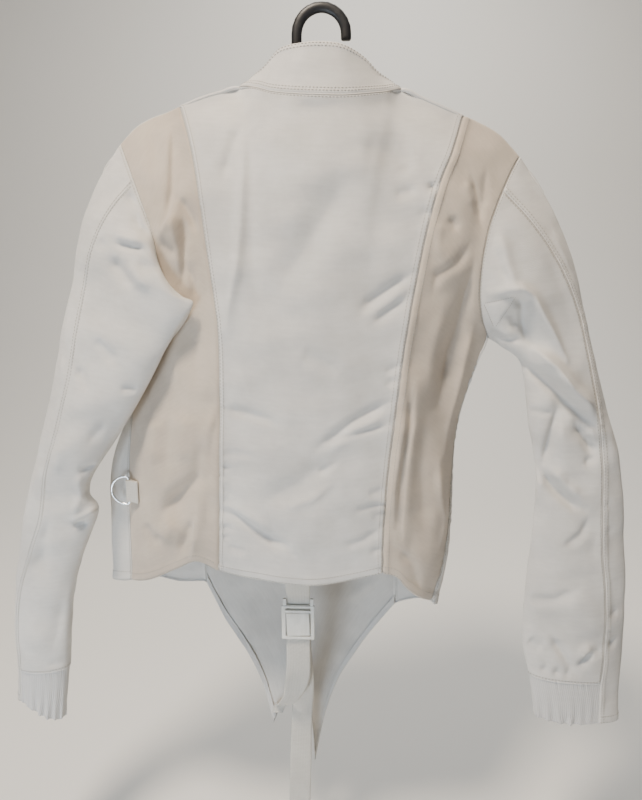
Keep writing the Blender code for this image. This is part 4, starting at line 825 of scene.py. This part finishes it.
def dress(piece, finish, *replaced, body="root", slot=None):
    """Gives a piece its finish, its place on a body, and the solids that it stands for."""
    piece.data.materials.clear()
    piece.data.materials.append(finish.material)
    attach(piece, body)
    if replaced:
        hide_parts(*replaced)
    return piece


def rounded(value, digits=3):
    return round(value, digits)


cloth = {}
for name, panel in panels.items():
    beige = name.startswith("back_side")
    piece = shell(f"cloth_{name}", panel)
    dress(piece, stretch if beige else cotton, name, slot="stretch_cloth" if beige else "white_cotton")
    width, length = (rounded(v) for v in panel.cut)
    cloth[name] = piece
    print(f"{piece.name:28s} {len(piece.data.polygons)} faces, cut {width} x {length} m")

# %% [markdown]
# ## Wrist bands
#
# Only the under sleeve is gathered into the rib band; the outer panel runs plain past it to its own hem.
# The band's lower edge is stretched where it was overlocked, so it flutes like a lettuce leaf.  The
# solid already has nine flutes; here they get uneven heights and the wales of the knit.

# %% Bands
bands = {}
for side in ("left", "right"):
    band = Panel(f"cuff_band_{side}", 4, 37, 1, steps=8, thickness=1.2 * MM, spread=0.3 * MM)
    share = band.low / band.low[-1:].max()
    flute = np.clip(1 - share, 0, 1) ** 2.2
    ripple = pucker_wave(band.left / MM, 14) * 0.9 * flute
    gather = pucker_wave(band.left / MM, 6.2) * 0.35 * np.clip(share * 3 - 2, 0, 1)
    band.points += band.normals * ((ripple + gather) * MM)[..., None]
    band.points[..., 2] -= np.abs(ripple) * 0.5 * MM
    band.settle()
    piece = dress(shell(f"rib_band_{side}", band, 0.9 * MM), knit, f"cuff_band_{side}", slot="rib_knit")
    width, length = (rounded(v) for v in band.cut)
    bands[side] = band
    print(piece.name, width, "x", length, "m along its flutes")

# %% [markdown]
# ## Webbing, tapes and turned hems
#
# These are flat strips, so each solid's own two edges give its path.  A strip is read the same way as a
# panel and gets a low rounded selvedge.  The free tail sways a little and the lower strap has the soft
# kinks of webbing that was folded often.

# %% Strips
STRIPS = {
    "strap_upper": (9, 1.6, webbing, "hung", "webbing"),
    "strap_lower": (16, 1.6, webbing, "hung", "webbing"),
    "strap_tail": (17, 1.6, webbing, "hung", "webbing"),
    "zip_tape_left": (17, 1.0, webbing, "hung", "webbing"),
    "zip_tape_right": (17, 1.0, webbing, "hung", "webbing"),
    "hem_turn_left": (3, 1.0, inside_cotton, "folded", "white_cotton"),
    "hem_turn_right": (3, 1.0, inside_cotton, "folded", "white_cotton"),
}
strips = {}
for name, (rows, wall, finish, held, slot) in STRIPS.items():
    columns = 9 if name.startswith("hem") else 2
    sign = -1 if name.startswith("zip") or name.startswith("hem") else 1
    strip = Panel(name, rows, columns, sign, steps=6, thickness=wall * MM, spread=0.0)
    if name.startswith("strap"):
        width = strip.left[:, -1:]
        side_share = np.clip(np.minimum(strip.left, strip.right) / (1.6 * MM), 0, 1)
        swell = 0.28 * side_share + 0.5 * np.sin(strip.low / MM / 23 + 1.0) * np.sin(strip.left / width * 3.1)
        if name == "strap_lower":
            swell = swell + 0.9 * np.exp(-(((strip.low / MM - 62) / 9) ** 2)) * np.sin(strip.left / width * 5)
        strip.points += strip.normals * (swell * MM)[..., None]
        strip.settle()
    piece = dress(shell(f"cloth_{name}", strip, (wall - 0.4) * MM), finish, name, slot=slot)
    print(f"{name:22s} {strip.cut[0] / MM:.0f} x {strip.cut[1] / MM:.0f} mm, {strip.area:.5f} m2")
    strips[name] = strip

# %% [markdown]
# ## Sewing
#
# Stitches are what makes a seam look sewn.  A line drawn in the colour would vanish at a slant, so each
# stitch is a little bar of thread that lies on the cloth, 2 mm long, sunk at both ends.  A row follows an
# edge at a set distance, which the rows and columns of its panel give directly.


# %% Stitch rows
def edge_line(panel, side, distance):
    """A line on a panel at a distance from one edge, with the cloth's outward direction along it."""
    far = getattr(panel, side)
    points, normals = panel.points, panel.normals
    if side in ("low", "high"):
        far, points, normals = far.T, points.swapaxes(0, 1), normals.swapaxes(0, 1)
    if side in ("right", "high"):
        far, points, normals = far[:, ::-1], points[:, ::-1], normals[:, ::-1]
    line = np.array([[np.interp(distance, f, p[:, k]) for k in range(3)] for f, p in zip(far, points)])
    out = np.array([[np.interp(distance, f, n[:, k]) for k in range(3)] for f, n in zip(far, normals)])
    return line, out


def stitched(line, out, pitch=3.3 * MM, length=2.3 * MM, thick=0.58 * MM, start=0.0, end=1.0):
    """Points and faces of one row of stitches."""
    steps = np.linalg.norm(np.diff(line, axis=0), axis=1)
    along = np.concatenate([[0], np.cumsum(steps)])
    total = along[-1]
    centres = np.arange(total * start + pitch, total * end - pitch, pitch)
    points, faces = [], []

    def at(values, s):
        return np.array([np.interp(s, along, values[:, k]) for k in range(3)])

    for number, s in enumerate(centres):
        middle, ahead = at(line, s), at(line, min(total, s + length / 2)) - at(line, max(0, s - length / 2))
        ahead = ahead / (np.linalg.norm(ahead) + 1e-12)
        up = at(out, s)
        up = up / (np.linalg.norm(up) + 1e-12)
        beside = np.cross(ahead, up)
        lean = 0.05 * math.sin(number * 1.7)
        ahead = ahead + beside * lean
        first = len(points)
        for shift, size in ((-0.5, 0.35), (-0.22, 1.0), (0.22, 1.0), (0.5, 0.35)):
            centre = middle + ahead * shift * length + up * thick * (0.30 if abs(shift) < 0.4 else -0.15)
            for a in (45, 135, 225, 315):
                turn = math.radians(a)
                points.append(centre + thick / 2 * size * 1.3 * (
                    beside * math.cos(turn) + up * math.sin(turn)))
        for ring in range(3):
            for k in range(4):
                a, b = first + ring * 4 + k, first + ring * 4 + (k + 1) % 4
                faces.append((a, b, b + 4, a + 4))
        faces.append((first + 3, first + 2, first + 1, first))
        faces.append((first + 12, first + 13, first + 14, first + 15))
    return points, faces


def sew(name, rows):
    """One object for all stitch rows of a part of the jacket."""
    points, faces = [], []
    for panel, side, distance, options in rows:
        line, out = edge_line(panel, side, distance * MM)
        row_points, row_faces = stitched(line, out, **options)
        faces += [tuple(i + len(points) for i in face) for face in row_faces]
        points += row_points
    piece = dress(add_mesh(name, points, faces), thread)
    print(f"{name}: {len(faces) // 14} stitches")
    return piece


TORSO_ROWS = {
    "back_centre": {"left": (1.6, 4.2), "right": (2.0, 5.6), "low": (2.0, 8.2), "high": (2.0,)},
    "back_side_left": {"low": (2.0, 9.0), "left": (2.0,)},
    "back_side_right": {"low": (2.0, 9.0), "left": (5.8,), "right": (2.2,)},
    "front_side_left": {"left": (2.0,), "low": (2.0, 11.0)},
    "front_side_right": {"low": (2.0, 11.0), "right": (2.2,)},
    "front_left": {"left": (2.0,), "low": (2.2, 10.8), "right": (2.4, 8.2)},
    "front_right": {"right": (2.0,), "low": (2.2, 10.8), "left": (2.4, 8.2)},
    "collar": {"low": (3.6, 6.4), "high": (2.4, 5.0), "left": (2.4,), "right": (2.4,)},
}
SLEEVE_ROWS = {
    "sleeve_left_outer": {"left": (2.0,), "right": (2.0,), "low": (2.0, 9.2), "high": (1.8,)},
    "sleeve_left_under": {"left": (2.2,), "low": (2.0,), "high": (1.8,)},
    "sleeve_right_outer": {"right": (2.0, 5.2), "left": (2.0,), "low": (2.0, 9.2), "high": (1.8,)},
    "sleeve_right_under": {"right": (2.0,), "low": (2.0,), "high": (1.8,)},
}
for name, table in (("stitches_torso", TORSO_ROWS), ("stitches_sleeves", SLEEVE_ROWS)):
    sew(name, [(panels[panel], side, far, {}) for panel, sides in table.items()
               for side, distances in sides.items() for far in distances])
CLOSE = {"pitch": 2.4 * MM}
sew("stitches_webbing", [
    (strips["strap_tail"], "low", 3.0, CLOSE), (strips["strap_tail"], "low", 6.0, CLOSE),
    (strips["strap_lower"], "high", 5.0, CLOSE), (strips["strap_lower"], "high", 8.0, CLOSE),
])

# %% [markdown]
# ## Piping and the underarm gusset
#
# The left sleeve's back seam has a thin light cord caught in it, and so does the left armhole; it catches
# the light as a bright line that comes and goes.  Under the right arm a small triangle of cloth is set
# in, zigzagged flat.  It isn't a solid of its own, so it is laid on the sleeve's form, half a millimetre
# proud.


# %% Piping
def cord_along(name, line, out, radius, lift, finish, sides=6, gaps=()):
    """A thin round cord along a seam, which sinks into the cloth where the gaps say."""
    steps = np.linalg.norm(np.diff(line, axis=0), axis=1)
    share = np.concatenate([[0], np.cumsum(steps)]) / steps.sum()
    points, faces = [], []
    for i in range(len(line)):
        ahead = line[min(i + 1, len(line) - 1)] - line[max(i - 1, 0)]
        ahead = ahead / (np.linalg.norm(ahead) + 1e-12)
        beside = np.cross(ahead, out[i])
        beside = beside / (np.linalg.norm(beside) + 1e-12)
        hidden = max([0.0] + [1 - min(1, abs(share[i] - place) / half) ** 2 for place, half in gaps])
        size = radius * (1 - 0.9 * min(1, max(0, 1 - min(share[i], 1 - share[i]) / 0.01)))
        centre = line[i] + out[i] * (lift - hidden * (lift + 1.3 * radius))
        for k in range(sides):
            a = 2 * math.pi * k / sides
            points.append(centre + size * (beside * math.cos(a) + out[i] * math.sin(a)))
    for i in range(len(line) - 1):
        for k in range(sides):
            a, b = i * sides + k, i * sides + (k + 1) % sides
            faces.append((a, b, b + sides, a + sides))
    faces += [tuple(range(sides))[::-1], tuple(range(len(points) - sides, len(points)))]
    return dress(add_mesh(name, points, faces), finish)


line, out = edge_line(panels["sleeve_left_under"], "left", 0.3 * MM)
SUNK = ((0.30, 0.05), (0.52, 0.04), (0.62, 0.03))
cord_along("piping_left_sleeve", line, out, 0.95 * MM, 0.1 * MM, cotton, gaps=SUNK)
line, out = edge_line(panels["back_side_left"], "left", 0.3 * MM)
upper = line[:, 2] > -0.235
cord_along("piping_left_armhole", line[upper], out[upper], 0.8 * MM, 0.1 * MM, cotton)
# Where two pieces meet at an angle, their seam allowances lie rolled together inside the seam.
ROLLS = {"roll_neck": ("collar", "low", 1.2), "roll_back_neck": ("back_centre", "high", 1.6)}
for side in ("left", "right"):
    under = f"sleeve_{side}_under"
    ROLLS.update({
        f"roll_shoulder_{side}": (f"back_side_{side}", "high", 1.3),
        f"roll_front_{side}": (f"front_{side}", "high", 2.0),
        f"roll_armhole_{side}": (f"back_side_{side}", side, 1.1),
        f"roll_front_armhole_{side}": (f"front_side_{side}", side, 1.1),
        f"roll_sleeve_{side}": (under, "high", 1.1), f"roll_seam_{side}": (under, side, 1.0),
        f"roll_wrist_{side}": (under, "low", 1.1),
    })
for name, (panel, side, radius) in ROLLS.items():
    line, out = edge_line(panels[panel], side, 0.0)
    cord_along(name, line, out, radius * MM, (-1.15 if radius < 1.5 else -0.75) * radius * MM, cotton)
for side, band in bands.items():
    line, out = edge_line(band, "high", 0.4 * MM)
    cord_along(f"roll_band_{side}", line, out, 1.3 * MM, -0.3 * MM, knit)
# Six thin cords in the darkened thread finish lie along these seams as dark lines: painted shade of the seam
# ditch, drawn as a thread.
SEAM_SHADE_LINES = {
    "seam_back_left": ("back_centre", "left"), "seam_back_right": ("back_centre", "right"),
    "seam_neck": ("collar", "low"), "seam_sleeve_right": ("sleeve_right_under", "right"),
    "seam_armhole_right": ("back_side_right", "right"), "seam_side_left": ("front_side_left", "left"),
}
for name, (panel, side) in SEAM_SHADE_LINES.items():
    line, out = edge_line(panels[panel], side, 0.0)
    cord_along(name, line, out, 0.42 * MM, 0.05 * MM, thread)
print("seam rolls", len(ROLLS), "and sewn lines", len(SEAM_SHADE_LINES))


# %% Gusset
def laid_patch(name, corners, against, lift, finish, steps=14):
    """A three-cornered patch on the cloth: corners as x, z, found from behind."""
    verts = [tuple(p) for p in against.points.reshape(-1, 3)]
    rows, columns = against.points.shape[:2]
    number = np.arange(rows * columns).reshape(rows, columns)
    quads = np.stack([number[:-1, :-1], number[:-1, 1:], number[1:, 1:], number[1:, :-1]], -1).reshape(-1, 4)
    tree = BVHTree.FromPolygons(verts, [tuple(int(i) for i in q) for q in quads])
    a, b, c = (np.array(p, float) * MM for p in corners)
    points, places, index = [], [], {}
    for i in range(steps + 1):
        for j in range(steps + 1 - i):
            u, v = i / steps, j / steps
            x, z = a + (b - a) * u + (c - a) * v
            hit, normal, _, _ = tree.ray_cast(Vector((x, -0.3, z)), Vector((0, 1, 0)))
            if hit is None:
                hit, normal, _, _ = tree.find_nearest(Vector((x, -0.04, z)))
            if normal.y > 0:
                normal = -normal
            rim = min(u, v, 1 - u - v)
            index[i, j] = len(points)
            points.append(np.array(hit + normal * (lift * min(1, 0.2 + rim * 9))))
            places.append((x, z))
    faces = []
    for i in range(steps):
        for j in range(steps - i):
            faces.append((index[i, j], index[i + 1, j], index[i, j + 1]))
            if j < steps - i - 1:
                faces.append((index[i + 1, j], index[i + 1, j + 1], index[i, j + 1]))
    piece = add_mesh(name, points, faces)
    layer = piece.data.uv_layers.new(name="cut")
    loops = np.zeros(len(piece.data.loops), np.int32)
    piece.data.loops.foreach_get("vertex_index", loops)
    layer.data.foreach_set("uv", np.array(places)[loops].astype(np.float32).ravel())
    return dress(piece, finish), points, index


CORNERS = ((158, -269), (186, -262), (170, -293))
gusset, patch_points, patch_index = laid_patch(
    "underarm_gusset", CORNERS, panels["sleeve_right_under"], 0.7 * MM, cotton)
rims = [[(i, 0) for i in range(15)], [(0, j) for j in range(15)], [(14 - j, j) for j in range(15)]]
edges = [[patch_points[patch_index[place]] for place in rim] for rim in rims]
points, faces = [], []
for edge in edges:
    outward = np.tile([0.0, -1.0, 0.0], (15, 1))
    row_points, row_faces = stitched(np.array(edge), outward, pitch=2.2 * MM, length=1.7 * MM)
    faces += [tuple(i + len(points) for i in face) for face in row_faces]
    points += row_points
dress(add_mesh("stitches_gusset", points, faces), thread)

# %% [markdown]
# ## The zip on the front
#
# The zip closes the front from the neck to a hand's breadth above the point.  Its solid is a plain strip.
# Moulded teeth sit on it in two rows that alternate, one tooth every 2.6 mm, each a small block with a
# rounded nose, on a narrow backing.

# %% Zip teeth
chain = Panel("zip_chain", 15, 2, -1, steps=6, thickness=1.6 * MM, spread=0.0)
middle_line, out = edge_line(chain, "left", float(chain.left[:, -1].mean()) / 2)
steps = np.linalg.norm(np.diff(middle_line, axis=0), axis=1)
along = np.concatenate([[0], np.cumsum(steps)])
points, faces = [], []
TOOTH = {"pitch": 2.6 * MM, "reach": 2.1 * MM, "half": 0.62 * MM, "rise": 0.35 * MM,
         "sunk": 0.2 * MM}
for number, s in enumerate(np.arange(TOOTH["pitch"], along[-1] - TOOTH["pitch"] / 2, TOOTH["pitch"] / 2)):
    centre = np.array([np.interp(s, along, middle_line[:, k]) for k in range(3)])
    side = 1 if number % 2 else -1
    first = len(points)
    for x, half in ((0.55, 1.0), (-0.15, 1.0), (-0.35, 0.55)):
        for z, y in ((-1, 0.0), (1, 0.0), (1, 1.0), (-1, 1.0)):
            wide = TOOTH["half"] * half * (1.0 if y == 0 else 0.8)
            points.append(centre + np.array(
                [side * (x + 0.3) * TOOTH["reach"], y * TOOTH["rise"] - TOOTH["sunk"], z * wide]))
    for ring in range(2):
        for k in range(4):
            a, b = first + ring * 4 + k, first + ring * 4 + (k + 1) % 4
            faces.append((a, b, b + 4, a + 4) if side > 0 else (a, a + 4, b + 4, b))
    ends = (first, first + 3, first + 2, first + 1), (first + 8, first + 9, first + 10, first + 11)
    faces += [end if side > 0 else (end[0], *end[:0:-1]) for end in ends]
dress(add_mesh("zip_teeth", points, faces, smooth=False), teeth_plastic, "zip_chain", slot="zip_teeth")
chain.points[..., 1] -= 0.3 * MM
dress(shell("zip_backing", chain, 0.6 * MM), webbing)
print("teeth", len(points) // 12)

# %% [markdown]
# ## Hard pieces
#
# The buckle, the flap, the slider and its pull are already the right shape, so they stay and only get
# their material.  The ring was bent from round wire and the hanger was moulded with soft edges, and
# their solids are eight-sided.  The ring is subdivided into a round wire.  The hanger's solid comes from
# a boolean, whose long triangles don't subdivide well, so it is remeshed at 1.2 mm and relaxed instead.

# %% Materials for the pieces that stay
for name, finish in (("buckle_frame", white_plastic), ("buckle_flap", white_plastic),
                     ("zip_slider", plated), ("zip_pull", plated)):
    nodes[name].data.materials.clear()
    nodes[name].data.materials.append(finish.material)


# %% Ring, tab and hanger
def merged_copy(name, node):
    """A copy of a solid whose triangles share their points and are quads again where they can be."""
    bm = bmesh.new()
    bm.from_mesh(nodes[node].data)
    bmesh.ops.remove_doubles(bm, verts=bm.verts, dist=2e-6)
    bmesh.ops.join_triangles(bm, faces=bm.faces, angle_face_threshold=0.9, angle_shape_threshold=1.2)
    mesh = bpy.data.meshes.new(name)
    bm.to_mesh(mesh)
    bm.free()
    copy = bpy.data.objects.new(name, mesh)
    bpy.context.scene.collection.objects.link(copy)
    mesh.shade_smooth()
    return copy


def apply_modifiers(piece):
    """Keeps the shape that the modifiers make and takes them off."""
    graph = bpy.context.evaluated_depsgraph_get()
    mesh = bpy.data.meshes.new_from_object(piece.evaluated_get(graph))
    piece.modifiers.clear()
    piece.data = mesh
    piece.data.shade_smooth()


wire = merged_copy("ring_wire", "d_ring")
rounding = wire.modifiers.new("round", "SUBSURF")
rounding.levels = rounding.render_levels = 2
apply_modifiers(wire)
dress(wire, plated, "d_ring", body="d_ring", slot="ring_steel")

tab = merged_copy("cloth_ring_tab", "d_ring_tab")
blocks = tab.modifiers.new("even", "REMESH")
blocks.mode, blocks.voxel_size = "VOXEL", 0.55 * MM
relax = tab.modifiers.new("relax", "SMOOTH")
relax.factor, relax.iterations = 0.5, 5
apply_modifiers(tab)
layer = tab.data.uv_layers.new(name="cut")
for loop in tab.data.loops:
    place = tab.data.vertices[loop.vertex_index].co
    layer.data[loop.index].uv = (place.z, place.x)
dress(tab, webbing, "d_ring_tab", slot="webbing")

moulded = merged_copy("moulded_hanger", "hanger")
blocks = moulded.modifiers.new("even", "REMESH")
blocks.mode, blocks.voxel_size = "VOXEL", 1.2 * MM
relax = moulded.modifiers.new("relax", "SMOOTH")
relax.factor, relax.iterations = 0.5, 6
apply_modifiers(moulded)
dress(moulded, black_plastic, "hanger", slot="hanger_plastic")
print("hanger faces", len(moulded.data.polygons))
